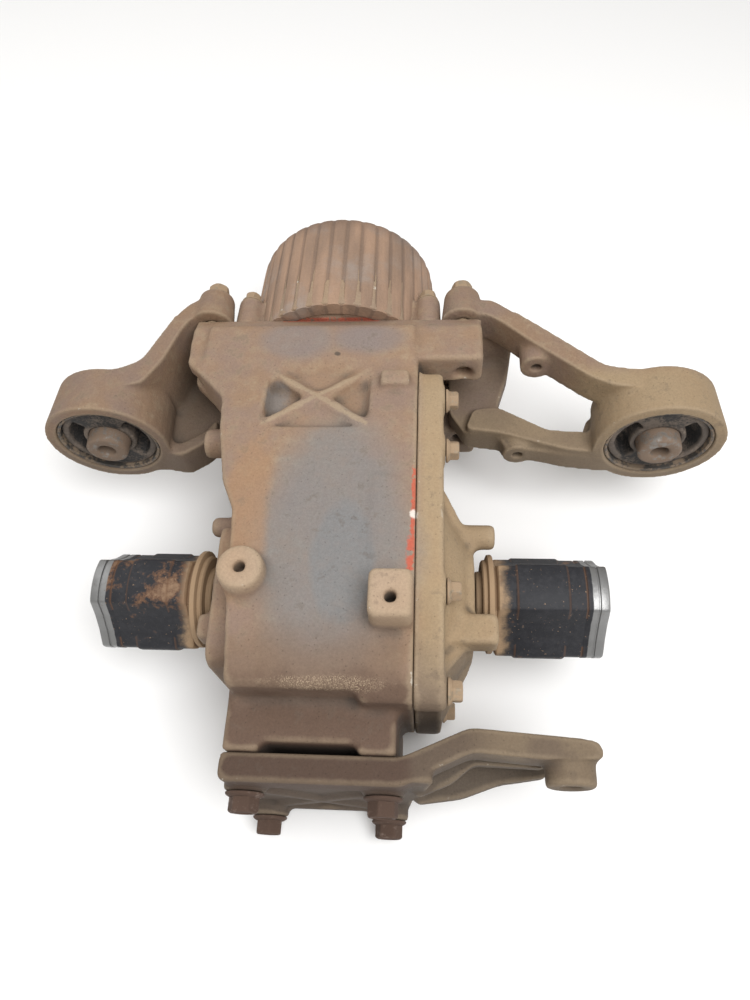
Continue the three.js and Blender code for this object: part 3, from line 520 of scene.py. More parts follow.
# linear colours of the surfaces
TAN = (0.262, 0.170, 0.108)
PALE_TAN = (0.335, 0.255, 0.170)
YELLOW_TAN = (0.345, 0.255, 0.145)
PINK_TAN = (0.232, 0.160, 0.122)
BLUE_GREY = (0.168, 0.173, 0.176)
PURPLE_GREY = (0.185, 0.165, 0.165)
RED_BROWN = (0.148, 0.098, 0.068)
ORANGE_TAN = (0.30, 0.175, 0.095)
POCKET_GREY = (0.21, 0.205, 0.20)
RAISED_TAN = (0.375, 0.272, 0.185)
LOW_DARK = (0.135, 0.108, 0.084)
COVER_DIRT = (0.150, 0.112, 0.080)
STAIN_BROWN = (0.120, 0.086, 0.066)
DARK_BROWN = (0.092, 0.055, 0.038)
# dark grime, also used as painted shade in hollows, inner corners and the bracket's channel
GRIME_AND_SHADE = (0.050, 0.042, 0.036)
BARE_CHIP = (0.50, 0.45, 0.38)
RED_PAINT = (0.46, 0.085, 0.045)
WHITE_PAINT = (0.66, 0.62, 0.56)
JOINT_PAINT = (0.016, 0.0165, 0.020)
RUST = (0.125, 0.062, 0.032)
RUST_DUST = (0.25, 0.165, 0.105)
STEEL_GREY = (0.25, 0.25, 0.247)
RUBBER_BLACK = (0.030, 0.029, 0.029)
RUBBER_DUST = (0.21, 0.165, 0.13)


def dusty_aluminium(look):
    """Tan dust, yellower over the side cover, rubbed grey on the deck and the bar across the nose."""
    colour = look.mix(look.ramp(look.cloud, 0.35, 0.68), TAN, PINK_TAN)
    colour = look.over(colour, PALE_TAN, look.ramp(look.mottle, 0.45, 0.75), 0.6)
    side = look.times(look.ramp(look.x, 0.030, 0.042), look.ramp(look.y, 0.072, 0.055))
    colour = look.over(colour, YELLOW_TAN, side, look.between(look.cloud, 0.35, 0.95))
    rim = look.math("ADD", look.times(look.noise(9, detail=3), 0.5), look.times(look.cloud, 0.5))
    patch = look.blob((-22, -92, 182), (66, 118, 60), rim, 0.55)
    core = look.blob((-14, -108, 182), (34, 70, 40), rim, 0.4)
    patch = look.larger(look.times(patch, 0.78), core)
    patch = look.times(patch, look.between(look.mottle, 0.62, 1.12), look.ramp(look.z, 0.168, 0.178))
    colour = look.mix(look.math("MINIMUM", patch, 0.96), colour, BLUE_GREY)
    bar = look.larger(look.blob((-62, 84, 184), (40, 26, 24), rim, 0.6),
                      look.blob((-8, 86, 184), (36, 20, 24), rim, 0.6))
    colour = look.over(colour, PURPLE_GREY, bar, 0.75, look.between(look.mottle, 0.5, 1.0))
    return look.over(colour, ORANGE_TAN, look.blob((-84, -70, 178), (20, 90, 30), look.cloud, 0.5), 0.55)


def rear_browns(look, colour):
    """Brown and then dark towards the rear, with a pale rubbed edge where the deck ends."""
    behind = look.math("ADD", look.y, look.between(look.cloud, -0.022, 0.022))
    brown = look.times(look.ramp(behind, -0.135, -0.182), look.ramp(look.x, 0.040, 0.020))
    colour = look.over(colour, RED_BROWN, brown, 0.75)
    rear = look.times(look.ramp(behind, -0.178, -0.200), look.ramp(look.x, 0.095, 0.060))
    colour = look.over(colour, DARK_BROWN, rear, 0.80)
    worn = look.blob((-20, -190, 180), (46, 7, 10), look.mottle, 0.5)
    return look.over(colour, PALE_TAN, worn, look.ramp(look.speck, 0.5, 0.62), 0.8)


def bracket_browns(look, colour, dark):
    """The bracket: dark on its bolted side, grime and painted shade in the channel under its leg, a stain on
    its tip.
    """
    colour = look.over(colour, DARK_BROWN, look.ramp(look.x, 0.085, 0.035), dark)
    # grime and painted shade in the channel under the leg's rim
    channel = look.times(look.ramp(look.z, 0.140, 0.118), look.ramp(look.x, 0.02, 0.04))
    colour = look.over(colour, GRIME_AND_SHADE, channel, 0.85)
    return look.over(colour, RED_BROWN, look.blob((116, -222, 150), (17, 20, 40), look.cloud, 0.5), 0.7)


def deck_details(look, colour):
    """Paler ribs and a greyer pocket in the crossed panel, pale tops on the boss and the pad."""
    ribs = look.larger(look.stroke((-80, 2), (-4, 56), 2.6, look.mottle, 3.5),
                       look.stroke((-80, 56), (-4, 2), 2.6, look.mottle, 3.5))
    colour = look.over(colour, PALE_TAN, ribs, look.ramp(look.z, 0.172, 0.176), 0.6)
    colour = look.over(colour, POCKET_GREY, look.blob((-74, 29, 170), (14, 22, 9), look.mottle, 0.4), 0.7)
    raised = look.ramp(look.z, 0.184, 0.191)
    return look.over(colour, RAISED_TAN, raised, look.between(look.cloud, 0.6, 1.0))


def grime_shade_and_chips(look, colour):
    """Darker low down; grime with painted shade in hollows and along inner corners; worn ridges with a few
    bare chips.
    """
    edge = look.attribute("edge")
    low = look.ramp(look.math("ADD", look.z, look.between(look.cloud, -0.03, 0.03)), 0.150, 0.085)
    # darker towards the bottom
    colour = look.over(colour, LOW_DARK, low, 0.62)
    rear = look.ramp(look.math("ADD", look.y, look.between(look.cloud, -0.02, 0.02)), -0.150, -0.182)
    colour = look.over(colour, COVER_DIRT, rear, look.ramp(look.x, 0.028, 0.038), 0.6)
    stained = look.times(look.ramp(look.mottle, 0.54, 0.66), look.ramp(look.cloud, 0.42, 0.6))
    colour = look.over(colour, STAIN_BROWN, stained, 0.4)
    # grime and painted shade: darker where the whole object crowds round, and along inner corners
    near = look.math("ADD", look.attribute("crowd"), look.between(look.mottle, -0.06, 0.06))
    colour = look.over(colour, GRIME_AND_SHADE, look.ramp(near, 0.56, 0.80), 0.62)
    colour = look.over(colour, GRIME_AND_SHADE, look.ramp(edge, 0.53, 0.68), 0.55)
    ridge = look.ramp(look.math("ADD", edge, look.between(look.mottle, -0.05, 0.05)), 0.44, 0.33)
    colour = look.over(colour, PALE_TAN, ridge, 0.38)
    flake = look.ramp(look.noise(160, detail=5, shift=4.0), 0.66, 0.71)
    return look.over(colour, BARE_CHIP, look.ramp(edge, 0.38, 0.31), flake, 0.75)


def paint_marks(look, colour):
    """Red brush marks along the cover joint and on the case's near face, a white dab, a punch mark."""
    brush = look.noise(190, detail=4, shift=6.0)
    seam = look.larger(look.stroke((33, -36), (32, -112), 2.2, brush, 3.0),
                       look.stroke((32, -92), (31, -112), 3.8, brush, 3.4))
    seam = look.times(seam, look.ramp(brush, 0.36, 0.46), look.ramp(look.z, 0.176, 0.180))
    front = look.larger(look.stroke((-76, 119), (-38, 119), 5.0, brush, 3.0),
                        look.stroke((-31, 119), (-2, 119), 5.0, brush, 3.0))
    level = look.times(look.ramp(look.z, 0.1535, 0.156), look.ramp(look.z, 0.1625, 0.160))
    front = look.times(front, level, look.ramp(brush, 0.36, 0.48))
    colour = look.over(colour, RED_PAINT, look.larger(seam, look.times(front, 0.8)), 0.85)
    colour = look.over(colour, WHITE_PAINT, look.blob((33, -73, 180), (3.4, 4.5, 5), brush, 0.7), 0.9)
    return look.over(colour, GRIME_AND_SHADE, look.blob((-29, 70, 175), (3.2, 2.6, 6), brush, 0.3), 0.75)


def weathered_cast(name, dark=0.0, tone=1.0):
    """Old cast aluminium under road dust; dark is only for the bracket, tone shades a whole casting."""
    look = Look(name)
    look.cloud = look.noise(28, detail=5, shift=0.3)
    look.mottle = look.noise(110, detail=5, roughness=0.65, shift=0.7)
    look.speck = look.noise(1500, detail=2, shift=2.3)
    grain = look.noise(620, detail=3, roughness=0.7, shift=1.1)
    colour = rear_browns(look, dusty_aluminium(look))
    if dark:
        colour = bracket_browns(look, colour, dark)
    colour = grime_shade_and_chips(look, deck_details(look, colour))
    colour = paint_marks(look, colour)
    light = look.math("ADD", look.between(grain, 0.72, 1.18), look.between(look.speck, -0.10, 0.10))
    colour = look.shade(colour, look.times(light, tone))
    pits = look.cells(260)
    colour = look.shade(colour, look.between(look.ramp(pits, 0.16, 0.05), 1.0, 0.72))
    look.bump((look.cloud, 0.9), (look.mottle, 0.55), (grain, 0.32), (look.ramp(pits, 0.05, 0.2), 0.16))
    return look.surface(colour, look.between(look.mottle, 0.66, 0.92), 0.0, 0.32)


def coupling_cast(name):
    """The ribbed case: brown-tan ribs with dark grooves between them, and grime with painted shade in its
    hollows.
    """
    look = Look(name)
    cloud = look.noise(26, detail=4, shift=0.9)
    streak = look.noise(60, detail=4, stretch=(1, 0.16, 1), shift=1.7)
    mottle = look.noise(120, detail=5, roughness=0.65, shift=0.2)
    grain = look.noise(640, detail=3, roughness=0.7)
    groove = look.attribute("groove")
    crowd = look.attribute("crowd")
    colour = look.mix(look.ramp(streak, 0.35, 0.65), (0.31, 0.20, 0.135), (0.225, 0.150, 0.105))
    colour = look.over(colour, (0.27, 0.235, 0.21), look.ramp(cloud, 0.5, 0.72), 0.55)
    colour = look.over(colour, TAN, look.ramp(mottle, 0.5, 0.8), 0.5)
    far = look.ramp(look.math("ADD", look.y, look.between(cloud, -0.01, 0.01)), 0.205, 0.228)
    colour = look.over(colour, DARK_BROWN, far, 0.45)
    wide = look.ramp(look.math("ADD", groove, look.between(streak, -0.45, 0.35)), 0.35, 0.95)
    colour = look.over(colour, (0.120, 0.084, 0.064), wide, 0.45)
    # grime and painted shade in hollows, where the whole object crowds round
    hollow = look.ramp(crowd, 0.55, 0.75)
    colour = look.over(colour, GRIME_AND_SHADE, hollow, 0.5)
    colour = look.shade(colour, look.between(grain, 0.80, 1.18))
    look.bump((mottle, 0.5), (grain, 0.3))
    return look.surface(colour, look.between(mottle, 0.60, 0.88), 0.0, 0.35)


def joint_paint(name, outward):
    """Blue-black paint with rust and dust along the neck and on top, bare steel at the open end."""
    look = Look(name)
    cloud = look.noise(38, detail=5, roughness=0.62, shift=0.4 + outward)
    mottle = look.noise(170, detail=6, roughness=0.7, shift=1.3)
    grain = look.noise(700, detail=3, roughness=0.7)
    along = look.attribute("along")
    up = look.attribute("up")
    colour = look.mix(look.ramp(mottle, 0.4, 0.7), JOINT_PAINT, (0.028, 0.028, 0.032))
    wear = look.math("ADD", look.times(cloud, 0.62), look.times(mottle, 0.38))
    wear = look.math("ADD", wear, look.times(up, 0.03 if outward > 0 else 0.10))
    dusty = look.ramp(wear, 0.585, 0.66)
    colour = look.over(colour, RUST, dusty, 0.85)
    dusty = look.ramp(wear, 0.63, 0.74)
    colour = look.over(colour, RUST_DUST, dusty, 0.8)
    neck = look.ramp(look.math("ADD", along, look.between(wear, -0.16, 0.16)), 0.27, 0.17)
    colour = look.over(colour, (0.33, 0.225, 0.135), neck, 0.92)
    fleck = look.ramp(look.noise(420, detail=4, shift=3.1), 0.66, 0.70)
    colour = look.over(colour, RUST_DUST, fleck, 0.8)
    line = look.ramp(look.attribute("groove"), 0.35, 0.9)
    colour = look.over(colour, RUST, line, 0.6)
    bare = look.ramp(look.math("ADD", along, look.between(mottle, -0.006, 0.006)), 0.868, 0.876)
    brushed = look.noise(90, detail=5, stretch=(26, 1, 1), shift=0.8)
    steel = look.mix(look.ramp(brushed, 0.35, 0.7), STEEL_GREY, (0.25, 0.25, 0.25))
    steel = look.mix(look.ramp(mottle, 0.62, 0.75), steel, (0.16, 0.12, 0.09))
    colour = look.mix(bare, colour, steel)
    inside = look.attribute("inside")
    grease = look.mix(look.ramp(cloud, 0.4, 0.6), (0.10, 0.09, 0.08), (0.045, 0.038, 0.03))
    colour = look.mix(inside, colour, grease)
    rough = look.math("ADD", look.between(mottle, 0.50, 0.74), look.times(neck, 0.2))
    rough = look.math("ADD", rough, look.times(dusty, 0.25))
    rough = look.math("SUBTRACT", rough, look.times(bare, 0.18), clamp=True)
    look.bump((mottle, 0.28), (grain, 0.14))
    return look.surface(colour, rough, look.times(bare, 0.85), 0.30)


def dusty_rubber(name):
    look = Look(name)
    cloud = look.noise(50, detail=5, shift=0.2)
    grain = look.noise(520, detail=4, roughness=0.7)
    crowd = look.attribute("crowd")
    edge = look.attribute("edge")
    colour = look.mix(look.ramp(grain, 0.3, 0.7), RUBBER_BLACK, (0.052, 0.048, 0.045))
    dust = look.math("ADD", look.times(cloud, 0.6), look.times(grain, 0.4))
    colour = look.over(colour, RUBBER_DUST, look.ramp(dust, 0.46, 0.62), 0.55)
    colour = look.over(colour, RUBBER_DUST, look.ramp(edge, 0.44, 0.32), 0.35)
    # painted shade: near-black in hollows, where the whole object crowds round
    colour = look.over(colour, (0.018, 0.016, 0.015), look.ramp(crowd, 0.72, 0.92), 0.5)
    look.bump((cloud, 0.5), (grain, 0.18))
    return look.surface(colour, look.between(cloud, 0.72, 0.95), 0.0, 0.25)


def worn_steel(name, base, stain, stained=0.5, rough=0.45, metallic=0.7):
    """Steel with a stain over part of it: dust on bolts, oil on machined pieces."""
    look = Look(name)
    cloud = look.noise(80, detail=5, shift=0.6)
    mottle = look.noise(320, detail=5, roughness=0.7, shift=0.1)
    grain = look.noise(1100, detail=2)
    crowd = look.attribute("crowd")
    mask = look.math("ADD", look.times(cloud, 0.5), look.times(mottle, 0.5))
    mask = look.ramp(mask, 0.62 - stained * 0.3, 0.72 - stained * 0.3)
    colour = look.mix(mask, base, stain)
    # grime and painted shade in hollows, where the whole object crowds round
    colour = look.over(colour, GRIME_AND_SHADE, look.ramp(crowd, 0.60, 0.85), 0.5)
    colour = look.shade(colour, look.between(grain, 0.82, 1.16))
    look.bump((mottle, 0.16), (grain, 0.08))
    bare = look.math("SUBTRACT", 1.0, mask)
    roughness = look.math("MULTIPLY_ADD", mask, 0.35, rough)
    return look.surface(colour, roughness, look.times(bare, metallic), 0.4)


def moulded_plastic(name):
    look = Look(name)
    grain = look.noise(900, detail=3)
    cloud = look.noise(60, detail=5)
    colour = look.mix(look.ramp(cloud, 0.5, 0.7), (0.022, 0.022, 0.023), (0.12, 0.09, 0.065))
    look.bump((grain, 0.06))
    return look.surface(colour, look.between(cloud, 0.45, 0.75), 0.0, 0.4)


# ---------------- castings

SCREW = 4.0
BODY_HOLES = [
    # axis, centre from the axle, radius, low, high
    (2, (-42, -16, 0), SCREW, 88, 120), (2, (56, -38, 0), SCREW, 92, 130),
]
for across, up in ((-40, 18), (-40, -76), (51, 18), (51, -76)):
    BODY_HOLES.append((1, (across, 0, up), 6.8, -130, -97))
ARM_HOLES = {
    "left_support_arm": [],
    "right_support_arm": [(1, (165, 0, 50), 4.2, 170, 260), (1, (153, 0, -3), 4.2, 120, 180)],
}
BUSH_CENTRES = {"left_support_arm": (-189, 0, 23.5), "right_support_arm": (261, 0, 23.5)}
JOINT_PLANE = 70.0  # between the carrier and its side cover
COVER_END = 167.0  # the cover stops short of the bar across the nose
BAR_START = 172.5
HALF_JOINT_GAP = 0.12
DECK_TOP = 85.0
PANEL_POCKETS = [
    # corners round the axle, floor
    ([(-46, 110), (-17, 133.5), (-46, 157)], 73),
    ([(34, 157), (5, 133.5), (34, 110)], 75),
    ([(-40, 104), (28, 104), (-6, 127.5)], 80.5),
    ([(28, 163), (-40, 163), (-6, 139.5)], 76.5),
]


def body_meshes(voxel):
    """Carrier and side cover, softened as one body and then parted, so that the joint stays crisp."""
    voxel = coarse(voxel)
    distance, crisp, start = softened_field(["carrier_housing", "side_cover"], voxel, 2.0, 3.6)
    distance = with_machined_faces(distance, crisp, start, voxel, -119, 221)
    for corners, floor in PANEL_POCKETS:
        distance = hollowed(distance, start, voxel, corners, floor, DECK_TOP)
    distance = drilled(distance, start, voxel, BODY_HOLES)
    x, y, _ = cell_places(start, distance.shape, voxel)
    before = AXLE[0] + JOINT_PLANE + 0.15 - x
    slot = np.maximum(np.maximum(before, AXLE[1] + COVER_END - y), y - AXLE[1] - BAR_START)
    distance = np.maximum(distance, -slot)
    cover = np.maximum(before, y - AXLE[1] - BAR_START + 2)
    for name, side in (("carrier_housing_cast", -1), ("side_cover_cast", 1)):
        yield name, mesh_of_field(name, np.maximum(distance, side * cover + HALF_JOINT_GAP), start, voxel)


def build_castings():
    body_look = weathered_cast("cast_aluminium_dusty")
    arm_look = weathered_cast("cast_arm_dusty", tone=0.88)
    for name, mesh in body_meshes(1.6):
        relax(place(name, mesh, "housing", body_look, "cast_aluminium", [name.removesuffix("_cast")]), 4)
    for node, bush in BUSH_CENTRES.items():
        bore = (1, bush, 42.0, 110, 180)
        holes = [bore, *ARM_HOLES[node]]
        mesh = cast_mesh(node + "_cast", node, 1.25, 2.4, 5.0, holes, machined=(228, 1000))
        relax(place(node + "_cast", mesh, "housing", arm_look, "cast_aluminium", [node]), 6)
    bracket_look = weathered_cast("cast_bracket_brown", dark=0.62, tone=0.72)
    slot = [(1, (169, 0, 34), 6.5, -150, -90)]
    mesh = cast_mesh("rear_bracket_cast", "rear_bracket", 1.1, 1.7, 2.6, slot, machined=(-1000, -124))
    relax(place("rear_bracket_cast", mesh, "housing", bracket_look, "bracket_casting", ["rear_bracket"]), 4)
    return body_look


CASE_RIBS = 38
CASE_RIB_SAMPLES = 16
CASE_BASE_Y = 224.5
CASE_GROOVE = 1.3
CASE_SHELL = [
    # station from the axle, outer radius, share of the groove depth
    (CASE_BASE_Y, 83.4, 1), (228, 83.9, 1), (236.5, 84.0, 1), (260, 83.6, 1), (290, 82.6, 1), (312, 81.6, 1),
    (322, 80.8, 0.9), (326, 79.8, 0.7), (329.5, 77.8, 0.45), (332.5, 74.8, 0.2), (335, 71, 0.05),
    (336.8, 66, 0), (337.8, 60, 0), (338, 52, 0), (338, 36, 0), (339, 33.2, 0), (341, 32.2, 0),
    (348.6, 31.8, 0), (349.8, 30.8, 0), (350, 29, 0), (350, 24, 0), (349.4, 22.5, 0), (340, 22.3, 0),
    (330.3, 22.3, 0), (330, 24, 0), (330, 60, 0), (329, 68, 0), (325, 71.4, 0), (318, 72, 0),
    (CASE_BASE_Y, 72, 0),
]


def ribbed_case_mesh():
    count = CASE_RIBS * CASE_RIB_SAMPLES
    turn = np.arange(count) * 2 * math.pi / count
    # rows turn from +Z towards +X, and ribs are centred on whole steps from +Z
    place_in_rib = (turn / (2 * math.pi) * CASE_RIBS) % 1.0
    from_groove = np.abs(place_in_rib - 0.5) / 0.5  # 0 in the groove's middle, 1 on the rib's middle
    wall = np.clip((from_groove - 0.12) / 0.30, 0, 1)
    depth = CASE_GROOVE * (1 - wall * wall * (3 - 2 * wall))
    crown = 0.4 * from_groove**2 - 0.4
    rows, marks = [], []
    for station, radius, share in CASE_SHELL:
        outer = share > 0 or radius > 50 and station > 330
        rows.append((AXLE[1] + station, radius + share * (crown - depth)))
        marks.append(depth / CASE_GROOVE * share if outer else np.zeros(count))
    mesh = polar_mesh("coupling_case_ribs", 1, (AXLE[0], 0, AXLE[2]), rows, closed=True)
    co = places_of(mesh) - AXLE
    angle = np.arctan2(co[:, 0], co[:, 2]) % (2 * math.pi)
    groove = np.interp(angle, turn, depth / CASE_GROOVE, period=2 * math.pi)
    stations = [s for s, _, _ in CASE_SHELL[:15]]
    shares = [k for _, _, k in CASE_SHELL[:15]]
    outside = np.hypot(co[:, 0], co[:, 2]) > 62
    add_value(mesh, "groove", groove * np.interp(co[:, 1], stations, shares) * outside)
    return mesh


def case_flange_mesh():
    """The case's base with its lugs; the ribbed shell takes the place of the barrel inside it."""

    def barrel(x, y, z):
        return -cylinder_field((x, y, z), 1, AXLE, 82.0, AXLE[1] + 228.5, AXLE[1] + 400)

    return cast_mesh("coupling_case_base", "coupling_case", 1.2, 1.3, 2.4, trim=barrel, machined=(228, 1000))


def build_coupling(body_look):
    case_look = coupling_cast("cast_case_ribs")
    place("coupling_case_ribs", ribbed_case_mesh(), "housing", case_look, "cast_aluminium", ["coupling_case"])
    relax(place("coupling_case_base", case_flange_mesh(), "housing", body_look, "cast_aluminium"), 3)


# ---------------- drive shaft joint housings

LOBE_ANGLE = 90.0
LOBE_HALF = 26.0
HOLLOW_HALF = 14.0


def lobed(count, radius, hollow):
    """Radii at even angles of an outline with three round lobes and flat hollows between them."""
    fine = 3600
    turn = np.arange(fine) * 360.0 / fine
    away = np.abs((turn - LOBE_ANGLE + 60) % 120 - 60)
    corners = []
    for angle, r in ((LOBE_HALF, radius), (60 - HOLLOW_HALF, hollow)):
        corners.append((r * math.cos(math.radians(angle)), r * math.sin(math.radians(angle))))
    (x0, y0), (x1, y1) = corners
    normal = np.array([y1 - y0, x0 - x1])
    normal = normal / np.linalg.norm(normal)
    reach = normal @ np.array([x0, y0])
    facing = math.degrees(math.atan2(normal[1], normal[0]))
    slope = reach / np.cos(np.radians(away - facing))
    flat = hollow * math.cos(math.radians(HOLLOW_HALF)) / np.cos(np.radians(60 - away))
    outline = np.where(away <= LOBE_HALF, radius, np.where(away <= 60 - HOLLOW_HALF, slope, flat))
    soft = 14
    kernel = np.ones(2 * soft + 1) / (2 * soft + 1)
    outline = np.convolve(np.concatenate([outline[-soft:], outline, outline[:soft]]), kernel, "valid")
    return np.interp(np.arange(count) * 360.0 / count, turn, outline, period=360)


def tracks(count, offset=16.5, radius=12.5, middle=17.0):
    """Radii of the three roller tracks inside the housing."""
    turn = np.arange(count) * 360.0 / count
    away = np.radians((turn - LOBE_ANGLE + 60) % 120 - 60)
    inside = radius**2 - (offset * np.sin(away)) ** 2
    reach = offset * np.cos(away) + np.sqrt(np.maximum(inside, 0))
    return np.where(inside > 0, np.maximum(reach, middle), middle)


def joint_mesh(name, neck, end, sign):
    """A housing from the tip of its stub to its open end; sign is the side that it points to."""
    count = 288
    length = end - neck

    def body(station, radius, hollow):
        return (station, lobed(count, radius, hollow))

    open_edge = tracks(count)
    short = 92.0 - length  # the left housing is this much shorter in its raised band
    band, collar, ring = 64.2 - short, 76.4 - short, 91.5 - short
    rows = [
        (14.0 - neck, 0.0), (14.0 - neck, 10.0), (15.0 - neck, 11.0), (-14.6, 11.0), (-14.0, 12.0),
        (-13.4, 14.7), (-12.6, 15.0), (-0.2, 15.0), (0.0, 16.0), (0.0, 23.2), (0.8, 24.0), (4.0, 24.4),
        (4.3, 31.5), (5.2, 32.8), (7.6, 33.2), (8.0, 35.2), (8.7, 36.8), (9.6, 37.0), (11.6, 37.0),
        (12.3, 36.4), (12.7, 34.0), (13.2, 33.2),
        body(14.2, 34.0, 30.6), body(14.6, 36.6, 30.6), body(15.6, 37.9, 30.7), body(17.0, 38.1, 30.8),
        body(26.5, 38.1, 30.8), body(27.4, 38.3, 30.8), body(28.6, 39.3, 30.9), body(29.6, 39.5, 31.0),
        body(band - 1.6, 39.5, 31.0), body(band - 0.6, 39.3, 30.9), body(band + 0.6, 38.3, 30.8),
        body(band + 1.6, 38.0, 30.8), body(collar - 1.2, 38.0, 30.8), body(collar - 0.4, 37.7, 30.6),
        body(collar + 0.2, 37.6, 30.6), body(collar + 0.8, 38.3, 30.9), body(ring - 7.5, 38.3, 30.9),
        body(ring - 7.0, 37.3, 30.2), body(ring - 6.2, 37.3, 30.2), body(ring - 5.7, 38.4, 31.0),
        body(ring - 0.9, 38.4, 31.0), body(ring, 37.9, 30.7), body(length, 36.8, 29.8),
        (length, open_edge + 1.2), (length - 0.8, open_edge), (60.0, open_edge), (27.5, open_edge),
        (26.0, open_edge - 1.6), (26.0, 6.0), (26.0, 0.0),
    ]
    spread = [(AXLE[0] + sign * (neck + station), radius) for station, radius in rows]
    mesh = polar_mesh(name, 0, (0, AXLE[1], AXLE[2]), spread, sharp=32)
    co = places_of(mesh) - AXLE
    station = sign * co[:, 0] - neck
    radius = np.hypot(co[:, 1], co[:, 2])
    add_value(mesh, "along", np.where(station > 40, station + short, station) / 92.0)
    add_value(mesh, "up", co[:, 2] / 40)
    angle = np.arctan2(co[:, 2], co[:, 1])
    cup = np.interp(np.degrees(angle) % 360, np.arange(count) * 360 / count, open_edge, period=360)
    add_value(mesh, "inside", (station > 25) & (radius < cup + 1.0))
    steps = np.array([14.0, 28.2, band, collar])
    near = np.min(np.abs(station[:, None] - steps[None, :]), axis=1)
    add_value(mesh, "groove", np.clip(1 - near / 1.6, 0, 1) * (radius > 33))
    return mesh


def build_joints():
    for side, sign in (("left", -1), ("right", 1)):
        node = side + "_joint_housing"
        low, high = box_mm(node)
        end = sign * ((high if sign > 0 else low)[0] - AXLE[0])
        neck = end - (86 if sign < 0 else 92)
        mesh = joint_mesh(node + "_turned", neck, end, sign)
        place(node + "_turned", mesh, side + "_output", joint_paint(side + "_joint_paint", sign),
              "joint_paint", [node])


# ---------------- rubber bushes


def build_bushes():
    rubber = dusty_rubber("bush_rubber_dusty")
    sleeve = worn_steel("sleeve_steel_brown", (0.20, 0.18, 0.16), (0.17, 0.12, 0.085), 0.75, 0.5, 0.5)
    ring = worn_steel("bush_ring_dark", (0.07, 0.065, 0.06), (0.20, 0.15, 0.105), 0.6, 0.5, 0.4)
    for side in ("left", "right"):
        rubber_node = side + "_bush_rubber"
        mesh = cast_mesh(rubber_node + "_moulded", rubber_node, 0.8, 1.3, 1.6)
        relax(place(rubber_node + "_moulded", mesh, "housing", rubber, "rubber", [rubber_node]), 6)
        low, high = box_mm(side + "_bush_outer_sleeve")
        centre = ((low + high) / 2) * (1, 0, 1)
        outer, near, far = (high[0] - low[0]) / 2, low[1], high[1]
        rows = [
            (near + 0.6, outer), (near, outer - 0.6), (near, outer - 1.6), (near + 0.8, outer - 2.6),
            (near + 3, outer - 2.8), (far - 3, outer - 2.8), (far - 0.8, outer - 2.6), (far, outer - 1.6),
            (far, outer - 0.6), (far - 0.6, outer),
        ]
        mesh = polar_mesh(side + "_bush_ring", 1, centre, rows, closed=True)
        place(side + "_bush_ring", mesh, "housing", ring, "dark_steel", [side + "_bush_outer_sleeve"])
        low, high = box_mm(side + "_bush_inner_sleeve")
        outer, near, far = (high[0] - low[0]) / 2, low[1], high[1]
        bore = 7.0
        rows = [
            (near + 5, outer), (near + 1.2, outer - 0.3), (near + 0.2, outer - 1.5), (near, outer - 3),
            (near, bore + 2.2), (near + 0.7, bore + 0.5), (near + 1.6, bore), (far - 1.6, bore),
            (far - 0.7, bore + 0.5), (far, bore + 2.2), (far, outer - 3), (far - 0.2, outer - 1.5),
            (far - 1.2, outer - 0.3), (far - 5, outer),
        ]
        mesh = polar_mesh(side + "_bush_sleeve", 1, centre, rows, closed=True, sharp=50)
        place(side + "_bush_sleeve", mesh, "housing", sleeve, "sleeve_steel", [side + "_bush_inner_sleeve"])


# ---------------- bolts and plugs


def hexagon(count, across, turn=0.0):
    """Radii of a hexagon with its corners just eased."""
    angle = (np.arange(count) * 2 * math.pi / count + turn) % (math.pi / 3) - math.pi / 6
    return np.minimum(across / 2 / np.cos(angle), across / 2 * 1.135)


def flange_bolt_rows(across, head, shank_radius, shank, turn):
    """Rows from the tip of the shank to the middle of the head; station 0 is the seat."""
    count = 72
    flat = hexagon(count, across, turn)
    flange = across * 0.72

    def under(radius):
        return np.minimum(flat, radius)

    return [
        (-shank, 0.0), (-shank, shank_radius * 0.8), (1.5 - shank, shank_radius), (-0.2, shank_radius),
        (0.3, shank_radius + 0.4), (0.3, flange - 0.7), (0.6, flange - 0.1), (1.1, flange),
        (1.9, flange - 0.25), (2.7, flange - 1.3), (3.3, across * 0.585), (3.5, flat),
        (head - 1.7, flat), (head - 1.1, under(across * 0.548)), (head - 0.5, under(across * 0.515)),
        (head, under(across * 0.465)), (head, across * 0.40), (head - 0.9, across * 0.355), (head - 1.2, 0.0),
    ]


BOLT_GROUPS = [
    # nodes, axis, way the head points, shank radius, material
    ([f"cover_bolt_{i}" for i in range(1, 7)], 0, 1, 4.0, "tan"),
    ([f"bracket_bolt_{i}" for i in range(1, 5)], 1, -1, 6.0, "brown"),
    ([s + a for s in ("left", "right") for a in ("_arm_upper_bolt", "_arm_lower_bolt")], 1, 1, 6.0, "tan"),
    ([f"case_bolt_{i}" for i in range(1, 5)], 1, 1, 4.0, "tan"),
]

FIRST_BOLT_TURN = 0.4
BOLT_TURN_STEP = 0.37
ARM_SHANK_CUT = 9.0  # leaves the open end of an arm bolt's hole empty


